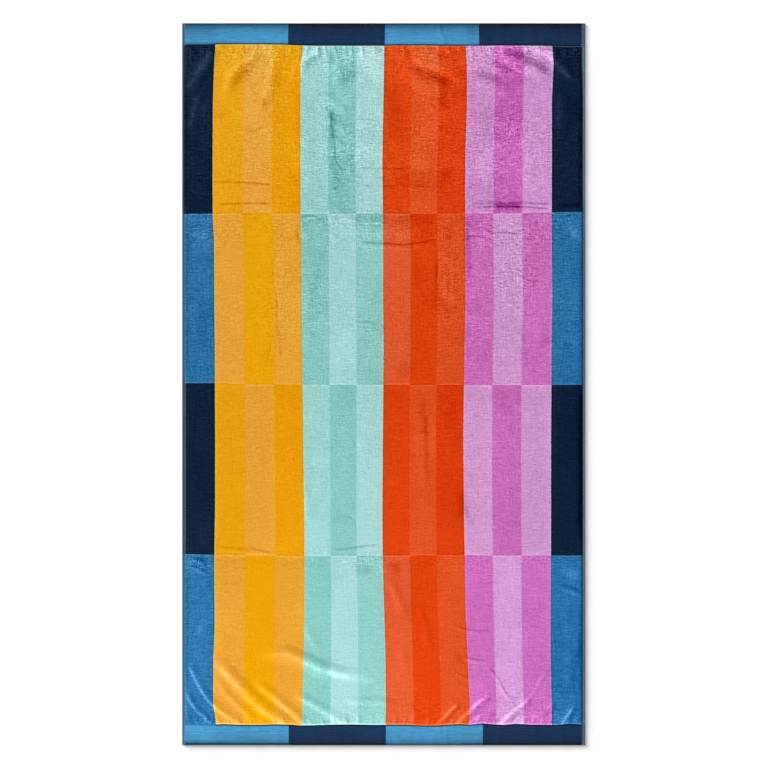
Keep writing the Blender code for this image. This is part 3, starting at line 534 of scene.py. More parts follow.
def drawn(path, step=2.0):
    """The points of a smooth curve through the path's own."""
    p = np.array(path, float)
    p = np.vstack([2 * p[0] - p[1], p, 2 * p[-1] - p[-2]])
    points = []
    for a, b, c, d in zip(p, p[1:], p[2:], p[3:]):
        count = max(1, int(np.hypot(*(c - b)) / step))
        for t in np.arange(count)[:, None] / count:
            points.append(0.5 * (2 * b + (c - a) * t + (2 * a - 5 * b + 4 * c - d) * t**2 + (3 * b - a - 3 * c + d) * t**3))
    points.append(p[-2])
    return np.array([np.ravel(q) for q in points])


def near(path, reach, x, y):
    """The lattice window within reach of the path."""
    p = np.array(path, float)
    low, high = p.min(axis=0) - reach - 6, p.max(axis=0) + reach + 6
    i0, i1 = np.searchsorted(LINE_U, (low[0], high[0]))
    j0, j1 = np.searchsorted(-LINE_V, (-high[1], -low[1]))
    return slice(max(i0 - 1, 0), i1 + 1), slice(max(j0 - 1, 0), j1 + 1)


def off_path(path, x, y):
    """Signed distance off the path, above 0 below a path that runs right, the run along it, and its length."""
    points = drawn(path)
    best = np.full(x.shape, 1e9)
    signed, run = np.zeros(x.shape), np.zeros(x.shape)
    done = 0.0
    for a, b in zip(points, points[1:]):
        d = b - a
        length = float(np.hypot(*d))
        if length < 1e-6:
            continue
        rx, ry = x - a[0], y - a[1]
        t = np.clip((rx * d[0] + ry * d[1]) / length**2, 0, 1)
        away = np.hypot(rx - t * d[0], ry - t * d[1])
        side = np.where(d[0] * ry - d[1] * rx >= 0, 1.0, -1.0)
        closer = away < best
        best = np.where(closer, away, best)
        signed = np.where(closer, side * away, signed)
        run = np.where(closer, done + t * length, run)
        done += length
    return signed, run, done


def dying(run, length, start, end):
    return smooth(run / max(start, 0.1)) * smooth((length - run) / max(end, 0.1))


def folds_on(x, y):
    """(lift in mm, the painted highlight on the folds' lit shoulders)"""
    lift, shoulder_highlight = np.zeros(x.shape), np.zeros(x.shape)
    for _, height, highlight_amount, below, above, start, end, crest in FOLDS:
        window = near(crest, max(below, above), x, y)
        off, run, length = off_path(crest, x[window], y[window])
        shape = np.where(off >= 0, bell(off / below), bell(off / above))
        wobble = 1 + 0.16 * soft_noise(run + 0 * off, off, 9.0, 40.0, int(crest[0][0]) % 17)
        alive = dying(run, length, start, end)
        lift[window] += height * shape * alive * wobble
        # a painted highlight on the shoulder that faces the key lamp
        reach = below if highlight_amount > 0 else above
        shoulder = bell((off * math.copysign(1, highlight_amount) - 0.40 * reach) / (0.34 * reach + 0.7))
        streaky = 0.75 + 0.5 * soft_noise(run, off, 5.0, 1.5, int(crest[0][1]) % 19)
        shoulder_highlight[window] = np.maximum(shoulder_highlight[window], abs(highlight_amount) * shoulder * alive * streaky)
    return lift, shoulder_highlight


def partings_on(x, y):
    depth, groove_shade = np.zeros(x.shape), np.zeros(x.shape)
    for _, deep, half, groove_shading, fade, path in PARTINGS:
        window = near(path, half, x, y)
        off, run, length = off_path(path, x[window], y[window])
        shape = bell(off / half) * dying(run, length, fade, fade) * (0.75 + 0.35 * soft_noise(run, off, 5.0, 30.0, int(path[0][1]) % 13))
        depth[window] = np.maximum(depth[window], deep * shape)
        # painted shade along each parting
        groove_shade[window] = np.maximum(groove_shade[window], groove_shading * shape)
    return depth, groove_shade


def nap_and_painted_shade_on(x, y):
    light = np.zeros(x.shape)
    for _, amount, half, fade, path in NAP_AND_PAINTED_SHADE:
        window = near(path, half * 1.3, x, y)
        off, run, length = off_path(path, x[window], y[window])
        ragged = off * (1 + min(0.3, 3.0 / half) * soft_noise(x[window], y[window], 4.0, 4.0, int(path[0][0]) % 11))
        light[window] += amount * bell(ragged / (half * 1.3)) * dying(run, length, fade, fade)
    return light


def block_tones():
    light = np.zeros(U.shape)
    across = [LEFT, *STRIPES, RIGHT]
    down = [TOP, *ROW_LINES, BOTTOM]
    for _, row, first, last, amount in BLOCK_TONES:
        inside = np.minimum(np.minimum(U - across[first], across[last + 1] - U), np.minimum(V - down[row - 1], down[row] - V))
        light += amount * smooth(inside / 1.2)
    return light


def roughness_on(x, y):
    rough = np.zeros(x.shape)
    for cx, cy, across, down, amount in ROUGH:
        rough += amount * bell(np.hypot((x - cx) / across, (y - cy) / down))
    return np.clip(rough, 0.03, 1.2)


def gathers_on(x, y, seam_y, gathers, way):
    """Little ridges that leave the seam at seam_y, way +1 for those that run down from the upper seam."""
    lift = np.zeros(x.shape)
    into = (y - seam_y) * way
    for place, height, half, reach, lean_and_slope_light in gathers:
        off = (x - place - lean_and_slope_light * into) / (half * (1 + 0.05 * np.clip(into, 0, None)))
        lift += height * bell(off) * smooth((into + 0.5) / 2.2) * smooth((reach * 1.5 - into) / reach)
    return lift


def hem_wrinkles_on(x, y, outer, seam_y, wrinkles):
    lift = np.zeros(x.shape)
    t = np.clip((y - outer) / (seam_y - outer), 0, 1)
    for at_edge, at_seam, height, half in wrinkles:
        lift += height * bell((x - (at_edge + (at_seam - at_edge) * t)) / half) * smooth(t / 0.35)
    return lift


# Fine lattice lines: across (u, left to right) and along (v, y running down from the lower end to the upper).
STRIPES = stripe_lines()
EDGES_U = [PILE_LEFT, *STRIPES, PILE_RIGHT]
LINE_U = fine_line(
    [(LEFT, PILE_LEFT, 1, "none")]
    + [(a, b, 4, "start" if a == PILE_LEFT else "end" if b == PILE_RIGHT else "none") for a, b in zip(EDGES_U, EDGES_U[1:])]
    + [(PILE_RIGHT, RIGHT, 1, "none")]
)
ROWS_V = [LOWER_SEAM, ROW_LINES[2], ROW_LINES[1], ROW_LINES[0], UPPER_SEAM]
LINE_V = fine_line(
    [(BOTTOM, LOWER_SEAM, 3, "both")]
    + [(a, b, 24, "start" if a == LOWER_SEAM else "end" if b == UPPER_SEAM else "none") for a, b in zip(ROWS_V, ROWS_V[1:])]
    + [(UPPER_SEAM, TOP, 3, "both")]
)
U, V = np.meshgrid(LINE_U, LINE_V, indexing="ij")


def run_at(table, x):
    xs, ys = zip(*table)
    return np.interp(x, xs, ys)


def pile_ends():
    """x where the pile ends on the left and on the right, at each fine y."""
    ys, left, right = zip(*PILE_ENDS)
    return np.interp(LINE_V, ys, left), np.interp(LINE_V, ys, right)


def wandered():
    """Where each lattice point really lies: the woven lines wander a little, and the outline stays straight."""
    lines = np.array([LEFT, PILE_LEFT, *COLUMN_LINES, PILE_RIGHT, RIGHT])
    ys = np.array([row[0] for row in DRIFT], float)
    moved = np.zeros((len(lines), len(LINE_V)))
    moved[1], moved[-2] = pile_ends()[0] - PILE_LEFT, pile_ends()[1] - PILE_RIGHT
    for k in range(len(COLUMN_LINES)):
        coarse = np.array([row[k + 1] for row in DRIFT]) - COLUMN_LINES[k]
        moved[k + 2] = np.interp(LINE_V, ys, coarse)
        kernel = np.hanning(25)
        moved[k + 2] = np.convolve(np.pad(moved[k + 2], 12, "edge"), kernel / kernel.sum(), "valid")
    shift = np.zeros(U.shape)
    for j in range(len(LINE_V)):
        shift[:, j] = np.interp(LINE_U, lines, moved[:, j])
    x = U + shift
    marks = [BOTTOM, LOWER_SEAM, *reversed(ROW_LINES), UPPER_SEAM, TOP]
    offs = [
        np.zeros(U.shape[0]),
        run_at(LOWER_SEAM_RUN, LINE_U) - LOWER_SEAM,
        run_at(ROW_RUNS[2], LINE_U) - ROW_LINES[2],
        run_at(ROW_RUNS[1], LINE_U) - ROW_LINES[1],
        run_at(ROW_RUNS[0], LINE_U) - ROW_LINES[0],
        run_at(UPPER_SEAM_RUN, LINE_U) - UPPER_SEAM,
        np.zeros(U.shape[0]),
    ]
    offs = np.array(offs)
    y = np.empty(U.shape)
    for i in range(U.shape[0]):
        y[i] = LINE_V + np.interp(-LINE_V, [-m for m in marks], offs[:, i])
    return x, y


def cloth_surface():
    """Heights of the upper and lower surfaces in mm, and the tone with painted light and shade, the roughness, the
    painted shoulder highlights and the painted slope light of the pile, on the fine lattice.
    """
    x, y = wandered()
    lower_seam = run_at(LOWER_SEAM_RUN, LINE_U)[:, None]
    upper_seam = run_at(UPPER_SEAM_RUN, LINE_U)[:, None]
    left_end, right_end = pile_ends()
    side = np.minimum(x - left_end, right_end - x)
    in_pile = np.minimum(side, np.minimum(y - upper_seam, lower_seam - y))
    ends = np.minimum(lower_seam - y, y - upper_seam)  # above 0 between the seams
    rim = np.minimum(np.minimum(x - LEFT, RIGHT - x), np.minimum(y - TOP, BOTTOM - y))

    rough = roughness_on(x, y)
    lift, shoulder_highlight = folds_on(x, y)
    # a crest that reaches a seam is pressed flat by the hem, and none lifts the outer edge
    lift *= smooth((ends + 1.0) / 6.5) * smooth((rim - 0.5) / 5.0)
    waves = 0.55 * soft_noise(x, y, 16, 13, 3) + 0.30 * soft_noise(x + 0.4 * y, y, 8.5, 7.5, 5)
    lift += (waves + 0.5) * np.clip(rough, 0, 0.9) * 1.1 * smooth((ends - 1) / 9) * smooth((rim - 2) / 7)
    lift += gathers_on(x, y, upper_seam, UPPER_GATHERS, 1) * smooth((rim - 2) / 3)
    lift += gathers_on(x, y, lower_seam, LOWER_GATHERS, -1) * smooth((rim - 2) / 3)
    lift += hem_wrinkles_on(x, y, TOP, upper_seam, UPPER_HEM_WRINKLES) * smooth(-ends / 1.5) * smooth(rim / 2)
    lift += hem_wrinkles_on(x, y, BOTTOM, lower_seam, LOWER_HEM_WRINKLES) * smooth(-ends / 1.5) * smooth(rim / 2)
    lift += 0.10 * (1 + soft_noise(x, y, 22, 5, 8)) * smooth(-ends / 2) * smooth((rim - 1) / 2)
    lift = np.clip(lift, 0, None)

    depth, groove_shade = partings_on(x, y)
    pile = PILE_EDGE + (PILE_THICK - PILE_EDGE) * rounded(in_pile / 1.5)
    flat = np.where(side < 0, SELVEDGE_THICK, HEM_THICK)
    woven = PILE_EDGE - 0.2 + (flat - PILE_EDGE + 0.2) * rounded(-in_pile / 1.3)
    thick = np.where(in_pile >= 0, pile, woven)
    # the hem is a folded roll: its outer edge turns under
    thick = np.where(ends < 0, thick * (0.82 + 0.18 * rounded(rim / 4.0)), thick)
    thick -= depth * smooth(in_pile / 2)
    tuft = 0.16 * soft_noise(x, y, 1.7, 1.4, 21) * np.clip(rough, 0.1, 0.9)
    thick += tuft * smooth(in_pile / 2)
    top = lift + np.clip(thick, 0.9, None)
    under = lift.copy()
    for axis in (0, 1):
        for step in (1, 1, 1):
            under = np.minimum(under, np.minimum(np.roll(under, step, axis), np.roll(under, -step, axis)))
    under *= smooth(rim / 3)
    middle = 0.5 * np.where(side < 0, SELVEDGE_THICK, HEM_THICK)
    edge = rim < 1e-6
    top = np.where(edge, middle, under + (top - under) * (0.55 + 0.45 * rounded(rim / 0.9)))
    under = np.where(edge, middle, np.minimum(under, top - 0.6))

    # painted light and shade from the nap table and the partings, with the blocks' dye tones and random mottling
    tone_and_shade = nap_and_painted_shade_on(x, y) + block_tones() - groove_shade
    tone_and_shade += 0.022 * soft_noise(x, y, 11, 15, 12) * (0.3 + rough) + 0.016 * soft_noise(x, y, 34, 46, 14)
    # the painted highlight on the folds' shoulders stops at the seams
    shoulder_highlight *= smooth((ends + 0.5) / 2.0)
    # painted light and shade from the slope: above 0 where the surface faces the key lamp on the left and the colour is
    # made paler, below 0 where it faces away and the colour is made darker
    risen = (lift - depth * smooth(in_pile / 2)) / (1000 * PER_UNIT)
    across = np.gradient(risen, axis=0) / np.gradient(x, axis=0)
    down = np.gradient(risen, axis=1) / np.gradient(y, axis=1)
    lean_and_slope_light = np.clip(0.97 * across - 0.24 * down, -0.6, 0.6) * smooth((rim - 1) / 3)
    return x, y, top, under, {"tone_and_shade": tone_and_shade, "rough": rough, "shoulder_highlight": shoulder_highlight, "lean_and_slope_light": lean_and_slope_light}


# ---------------------------------------------------------------- cells of uneven size


def bent(z):
    """How sharply the surface bends at each lattice point, in mm over one fine step."""
    turn = np.zeros(z.shape)
    turn[1:-1] = np.abs(z[2:] - 2 * z[1:-1] + z[:-2])
    turn[:, 1:-1] = np.maximum(turn[:, 1:-1], np.abs(z[:, 2:] - 2 * z[:, 1:-1] + z[:, :-2]))
    return turn


def worst_in(values, size):
    """The largest value of each size by size block of cells, borders included."""
    cells = np.maximum(np.maximum(values[:-1, :-1], values[1:, :-1]), np.maximum(values[:-1, 1:], values[1:, 1:]))
    a, b = cells.shape[0] // size, cells.shape[1] // size
    return cells.reshape(a, size, b, size).max(axis=(1, 3))


def halves(mask):
    a, b = mask.shape[0] // 2, mask.shape[1] // 2
    return mask.reshape(a, 2, b, 2).any(axis=(1, 3))


def spread(mask):
    padded = np.pad(mask, 1)
    out = np.zeros_like(mask)
    for di in (0, 1, 2):
        for dj in (0, 1, 2):
            out |= padded[di : di + mask.shape[0], dj : dj + mask.shape[1]]
    return out


def doubled(mask):
    return mask.repeat(2, axis=0).repeat(2, axis=1)


def balanced(split):
    """Neighbouring cells differ by one halving at most."""
    one, two, three = split
    two = two | halves(spread(three))
    one = one | halves(spread(two))
    return one, two & doubled(one), three & doubled(two)


def leaves_of(split):
    """(i, j, size) of every cell, in fine steps."""
    one, two, three = split
    found = []
    for size, mask in (
        (8, ~one),
        (4, doubled(one) & ~two),
        (2, doubled(two) & ~three),
        (1, doubled(three)),
    ):
        i, j = np.nonzero(mask)
        found.append(np.stack([i * size, j * size, np.full(i.shape, size)], axis=1))
    return np.concatenate(found)


def polygons_of(leaves, shape):
    """Lists of polygons by their number of corners, each corner a flat lattice index, running anticlockwise."""
    used = np.zeros(shape, bool)
    i, j, size = leaves.T
    for a, b in ((0, 0), (1, 0), (1, 1), (0, 1)):
        used[i + a * size, j + b * size] = True
    flat = lambda a, b: a * shape[1] + b
    half = size // 2
    middles = [(i + half, j), (i + size, j + half), (i + half, j + size), (i, j + half)]
    there = [used[a, b] & (size > 1) for a, b in middles]
    corners = [(i, j), (i + size, j), (i + size, j + size), (i, j + size)]
    pattern = sum(t.astype(int) << k for k, t in enumerate(there))
    groups = []
    for which in range(16):
        rows = np.nonzero(pattern == which)[0]
        if not len(rows):
            continue
        columns = []
        for k in range(4):
            columns.append(flat(corners[k][0][rows], corners[k][1][rows]))
            if which >> k & 1:
                columns.append(flat(middles[k][0][rows], middles[k][1][rows]))
        groups.append(np.stack(columns, axis=1))
    return groups, used


def triangles_in(groups):
    return sum(len(g) * (g.shape[1] - 2) for g in groups)


def split_by(turn, limit, finest=3):
    one = worst_in(turn, 8) * 8 > limit
    two = worst_in(turn, 4) * 4 > limit
    three = worst_in(turn, 2) * 2 > limit
    if finest < 3:
        three = np.zeros_like(three)
    return balanced((one | halves(two) | halves(halves(three)), two | halves(three), three))


def cut_cells(turn, most, finest=3, keep=None):
    """The finest even-handed cells that stay under the given number of triangles."""
    low, high = 1e-4, 20.0
    for _ in range(16):
        limit = math.sqrt(low * high)
        split = split_by(turn, limit, finest)
        if keep is not None:
            split = balanced(tuple(s | k for s, k in zip(split, keep)))
        groups, _ = polygons_of(leaves_of(split), turn.shape)
        if triangles_in(groups) > most:
            low = limit
        else:
            high = limit
    split = split_by(turn, high, finest)
    if keep is not None:
        split = balanced(tuple(s | k for s, k in zip(split, keep)))
    return split


def rim_only(split):
    """The split flags of the outermost base cells alone, so that the two surfaces share their rim."""
    kept = []
    for size, mask in zip((1, 2, 4), split):
        edge = np.zeros_like(mask)
        edge[:size], edge[-size:], edge[:, :size], edge[:, -size:] = True, True, True, True
        kept.append(mask & edge)
    return kept


# ---------------------------------------------------------------- materials


class Maker:
    """Builds one material's nodes."""

    def __init__(self, name):
        self.material = bpy.data.materials.new(name)
        self.material.use_nodes = True
        self.tree = self.material.node_tree
        self.tree.nodes.clear()

    def node(self, kind, inputs=(), **settings):
        made = self.tree.nodes.new(kind)
        for key, value in settings.items():
            setattr(made, key, value)
        for key, value in dict(inputs).items():
            socket = made.inputs[key]
            if hasattr(value, "is_output") or isinstance(value, bpy.types.NodeSocket):
                self.tree.links.new(value, socket)
            else:
                socket.default_value = value
        return made

    def sum(self, operation, a, b=0.0, c=0.0, clamp=False):
        made = self.node("ShaderNodeMath", operation=operation, use_clamp=clamp)
        for socket, value in zip(made.inputs, (a, b, c)):
            if isinstance(value, bpy.types.NodeSocket):
                self.tree.links.new(value, socket)
            else:
                socket.default_value = value
        return made.outputs[0]

    def cloth_place(self):
        """(vector, across, along) of the cloth in metres, from its lower left corner."""
        uv = self.node("ShaderNodeUVMap", uv_map="cloth").outputs["UV"]
        parts = self.node("ShaderNodeSeparateXYZ", {"Vector": uv})
        return uv, parts.outputs["X"], parts.outputs["Y"]

    def stretched(self, vector, x, y):
        return self.node("ShaderNodeVectorMath", {0: vector, 1: (x, y, 1.0)}, operation="MULTIPLY").outputs[0]

    def noise(self, vector, scale, detail=2.0, rough=0.5, w=None):
        made = self.node("ShaderNodeTexNoise", {"Vector": vector, "Scale": scale, "Detail": detail, "Roughness": rough}, noise_dimensions="2D")
        return made.outputs["Fac"]

    def swing(self, fac, amount):
        """A noise value turned to -amount .. amount about 0."""
        return self.sum("MULTIPLY", self.sum("SUBTRACT", fac, 0.5), 2.0 * amount)

    def attribute(self, name):
        return self.node("ShaderNodeAttribute", attribute_name=name, attribute_type="GEOMETRY").outputs["Fac"]

    def steps(self, fac, stops):
        """A ramp without blending: (place, colour) rows."""
        made = self.node("ShaderNodeValToRGB", {"Fac": fac})
        ramp = made.color_ramp
        ramp.interpolation = "CONSTANT"
        while len(ramp.elements) > 1:
            ramp.elements.remove(ramp.elements[-1])
        ramp.elements[0].position, ramp.elements[0].color = stops[0]
        for place, colour in stops[1:]:
            ramp.elements.new(place).color = colour
        return made.outputs["Color"]

    def bands(self, value, places, colours):
        """Flat colours that change exactly at the places: one more colour than places."""
        return self.pick(self.count_over(value, places), colours)

    def count_over(self, value, places):
        number = 0.5
        for place in places:
            number = self.sum("ADD", self.sum("GREATER_THAN", value, place), number)
        return number

    def soft_count(self, value, places, half):
        """How many places are passed, growing over half on either side of each."""
        number = 0.0
        for place in places:
            number = self.sum("ADD", self.sum("MULTIPLY_ADD", self.sum("SUBTRACT", value, place), 0.5 / half, 0.5, clamp=True), number)
        return number

    def soft_pick(self, number, colours):
        """Colours that run into each other between two whole numbers."""
        made = self.node("ShaderNodeValToRGB", {"Fac": self.sum("MULTIPLY", number, 18 / 255)})
        ramp = made.color_ramp
        ramp.interpolation = "LINEAR"
        ramp.elements.remove(ramp.elements[-1])
        ramp.elements[0].position, ramp.elements[0].color = 0.0, colours[0]
        for k, colour in enumerate(colours[1:], 1):
            ramp.elements.new(k * 18 / 255).color = colour
        return made.outputs["Color"]

    def brightness(self, colour):
        return self.node("ShaderNodeVectorMath", {0: colour, 1: (0.3, 0.59, 0.11)}, operation="DOT_PRODUCT").outputs["Value"]

    def pick(self, number, colours):
        fac = self.sum("DIVIDE", number, len(colours))
        return self.steps(fac, [(k / len(colours), c) for k, c in enumerate(colours)])

    def vector(self, operation, a, b):
        return self.node("ShaderNodeVectorMath", {0: a, 1: b}, operation=operation).outputs[0]

    def grey(self, value):
        return self.node("ShaderNodeCombineXYZ", {"X": value, "Y": value, "Z": value}).outputs[0]

    def lit(self, shown):
        """The colour that level cloth needs to look like the given display value."""
        opened = self.times(self.vector("ADD", shown, (0.055, 0.055, 0.055)), 1 / 1.055)
        opened = self.node("ShaderNodeGamma", {"Color": opened, "Gamma": 2.4}).outputs[0]
        return self.vector("MINIMUM", self.times(opened, 1 / LIGHT), (0.95, 0.95, 0.95))

    def curve(self, fac, stops):
        """A smooth ramp of grey: (place, value) rows."""
        made = self.node("ShaderNodeValToRGB", {"Fac": fac})
        ramp = made.color_ramp
        ramp.interpolation = "LINEAR"
        while len(ramp.elements) > 1:
            ramp.elements.remove(ramp.elements[-1])
        ramp.elements[0].position, ramp.elements[0].color = stops[0][0], (stops[0][1],) * 3 + (1,)
        for place, value in stops[1:]:
            ramp.elements.new(place).color = (value,) * 3 + (1,)
        return made.outputs["Color"]

    def blend(self, fac, a, b, mode="MIX"):
        made = self.node("ShaderNodeMix", data_type="RGBA", blend_type=mode)
        for socket, value in ((made.inputs[0], fac), (made.inputs[6], a), (made.inputs[7], b)):
            if isinstance(value, bpy.types.NodeSocket):
                self.tree.links.new(value, socket)
            else:
                socket.default_value = value
        return made.outputs[2]

    def times(self, colour, value):
        """A colour made lighter or darker by a number."""
        made = self.node("ShaderNodeVectorMath", {0: colour}, operation="SCALE")
        if isinstance(value, bpy.types.NodeSocket):
            self.tree.links.new(value, made.inputs["Scale"])
        else:
            made.inputs["Scale"].default_value = value
        return made.outputs[0]

    def finish(self, colour, roughness, sheen, height=None, distance=0.0005, sheen_rough=0.45, specular=0.15):
        shader = self.node(
            "ShaderNodeBsdfPrincipled",
            {"Base Color": colour, "Roughness": roughness, "Sheen Weight": sheen, "Sheen Roughness": sheen_rough, "Specular IOR Level": specular},
        )
        if height is not None:
            bump = self.node("ShaderNodeBump", {"Height": height, "Strength": 1.0, "Distance": distance})
            self.tree.links.new(bump.outputs[0], shader.inputs["Normal"])
        out = self.node("ShaderNodeOutputMaterial", {"Surface": shader.outputs[0]})
        return self.material


CLOTH_WIDE = (RIGHT - LEFT) * PER_UNIT
CLOTH_LONG = (BOTTOM - TOP) * PER_UNIT


def share_u(x):
    return (x - LEFT) / (RIGHT - LEFT)


def share_v(y):
    return (BOTTOM - y) / (BOTTOM - TOP)


def shown(name):
    return (*[c / 255 for c in COLOURS[name]], 1.0)


def level(value):
    return (value, value, value, 1.0)


def stripes_on(m, u, v, other_way):
    """(display colour of the stripes, how lively the pile of that yarn is, which row is odd), each row changing the shades."""
    number = m.count_over(u, [share_u(x) for x in STRIPES])
    odd = m.pick(number, [shown(n) for n in FACE_ONE_THREE])
    even = m.pick(number, [shown(n) for n in FACE_TWO_FOUR])
    odd_grain = m.pick(number, [level(GRAIN[n]) for n in FACE_ONE_THREE])
    even_grain = m.pick(number, [level(GRAIN[n]) for n in FACE_TWO_FOUR])
    flip = (0.0, 1.0, 0.0, 1.0) if not other_way else (1.0, 0.0, 1.0, 0.0)
    which = m.bands(v, [share_v(y) for y in reversed(ROW_LINES)], [level(f) for f in flip])
    return m.blend(which, even, odd), m.blend(which, even_grain, odd_grain), odd, even


def mingled(m, u, v, sharp):
    """The stripes' hues run into each other over the length of the pile, while the light and dark of them stay sharp."""
    number = m.soft_count(u, [share_u(x) for x in STRIPES], MINGLE * PER_UNIT / CLOTH_WIDE)
    odd = m.soft_pick(number, [shown(n) for n in FACE_ONE_THREE])
    even = m.soft_pick(number, [shown(n) for n in FACE_TWO_FOUR])
    lines = [share_v(y) for y in reversed(ROW_LINES)]
    rows = m.soft_count(v, lines, MINGLE * PER_UNIT / CLOTH_LONG)
    # rows 4, 3, 2 and 1 from the lower end: 0, 1, 2, 3 passed
    soft = m.blend(m.sum("PINGPONG", rows, 1.0), even, odd)
    return m.vector("ADD", soft, m.grey(m.brightness(m.vector("SUBTRACT", sharp, soft))))


def edge_lines(m, u, v, odd, even):
    """Where two yarns meet, a painted highlight lies along the lighter one and painted shade along the darker one:
    display values to add.
    """
    profile = [(0.0, 0.5), (0.25, 0.5), (0.34, 0.44), (0.42, 0.30), (0.47, 0.26), (0.499, 0.30), (0.501, 0.66), (0.57, 0.70), (0.66, 0.58), (0.76, 0.5), (1.0, 0.5)]
    row_profile = [(0.0, 0.5), (0.27, 0.5), (0.36, 0.46), (0.43, 0.38), (0.47, 0.36), (0.499, 0.38), (0.501, 0.70), (0.57, 0.76), (0.66, 0.60), (0.76, 0.5), (1.0, 0.5)]
    total = 0.0
    for x, way in zip(COLUMN_LINES, (1.0, 0.55, -0.65, 0.8, -1.0)):  # above 0 where the lighter yarn is on the right
        at = m.sum("MULTIPLY_ADD", m.sum("SUBTRACT", u, share_u(x)), (RIGHT - LEFT) / 8 * math.copysign(1, way), 0.5, clamp=True)
        total = m.sum("ADD", total, m.sum("MULTIPLY", m.sum("SUBTRACT", m.curve(at, profile), 0.5), 0.30 * abs(way)))
    gap = m.vector("SUBTRACT", odd, even)
    lighter = m.node("ShaderNodeVectorMath", {0: gap, 1: (0.3, 0.59, 0.11)}, operation="DOT_PRODUCT").outputs["Value"]
    way = m.sum("MINIMUM", m.sum("MAXIMUM", m.sum("MULTIPLY", lighter, 60.0), -1.0), 1.0)
    for k, y in enumerate(ROW_LINES):
        # above the line lies the odd row in the first and the last
        side = way if k != 1 else m.sum("MULTIPLY", way, -1.0)
        off = m.sum("MULTIPLY", m.sum("SUBTRACT", v, share_v(y)), (BOTTOM - TOP) / 8)
        at = m.sum("MULTIPLY_ADD", off, side, 0.5, clamp=True)
        total = m.sum("ADD", total, m.sum("MULTIPLY", m.sum("SUBTRACT", m.curve(at, row_profile), 0.5), 0.34))
    return total


def tinted(m, u, v, colour):
    """The colour with the dye lots that differ in hue."""
    across = [LEFT, *STRIPES, RIGHT]
    down = [TOP, *ROW_LINES, BOTTOM]
    for _, row, first, last, red, green, blue in TINTS:
        inside = m.sum("MULTIPLY", m.sum("GREATER_THAN", u, share_u(across[first])), m.sum("LESS_THAN", u, share_u(across[last + 1])))
        inside = m.sum("MULTIPLY", inside, m.sum("MULTIPLY", m.sum("GREATER_THAN", v, share_v(down[row])), m.sum("LESS_THAN", v, share_v(down[row - 1]))))
        colour = m.vector("ADD", colour, m.times((red, green, blue), inside))
    return colour


def off_seam(m, v):
    """How far a place lies from the nearer hem's seam, in units: above 0 in the pile."""
    upper = m.sum("MULTIPLY", m.sum("SUBTRACT", share_v(UPPER_SEAM), v), BOTTOM - TOP)
    lower = m.sum("MULTIPLY", m.sum("SUBTRACT", v, share_v(LOWER_SEAM)), BOTTOM - TOP)
    return m.sum("MINIMUM", upper, lower)


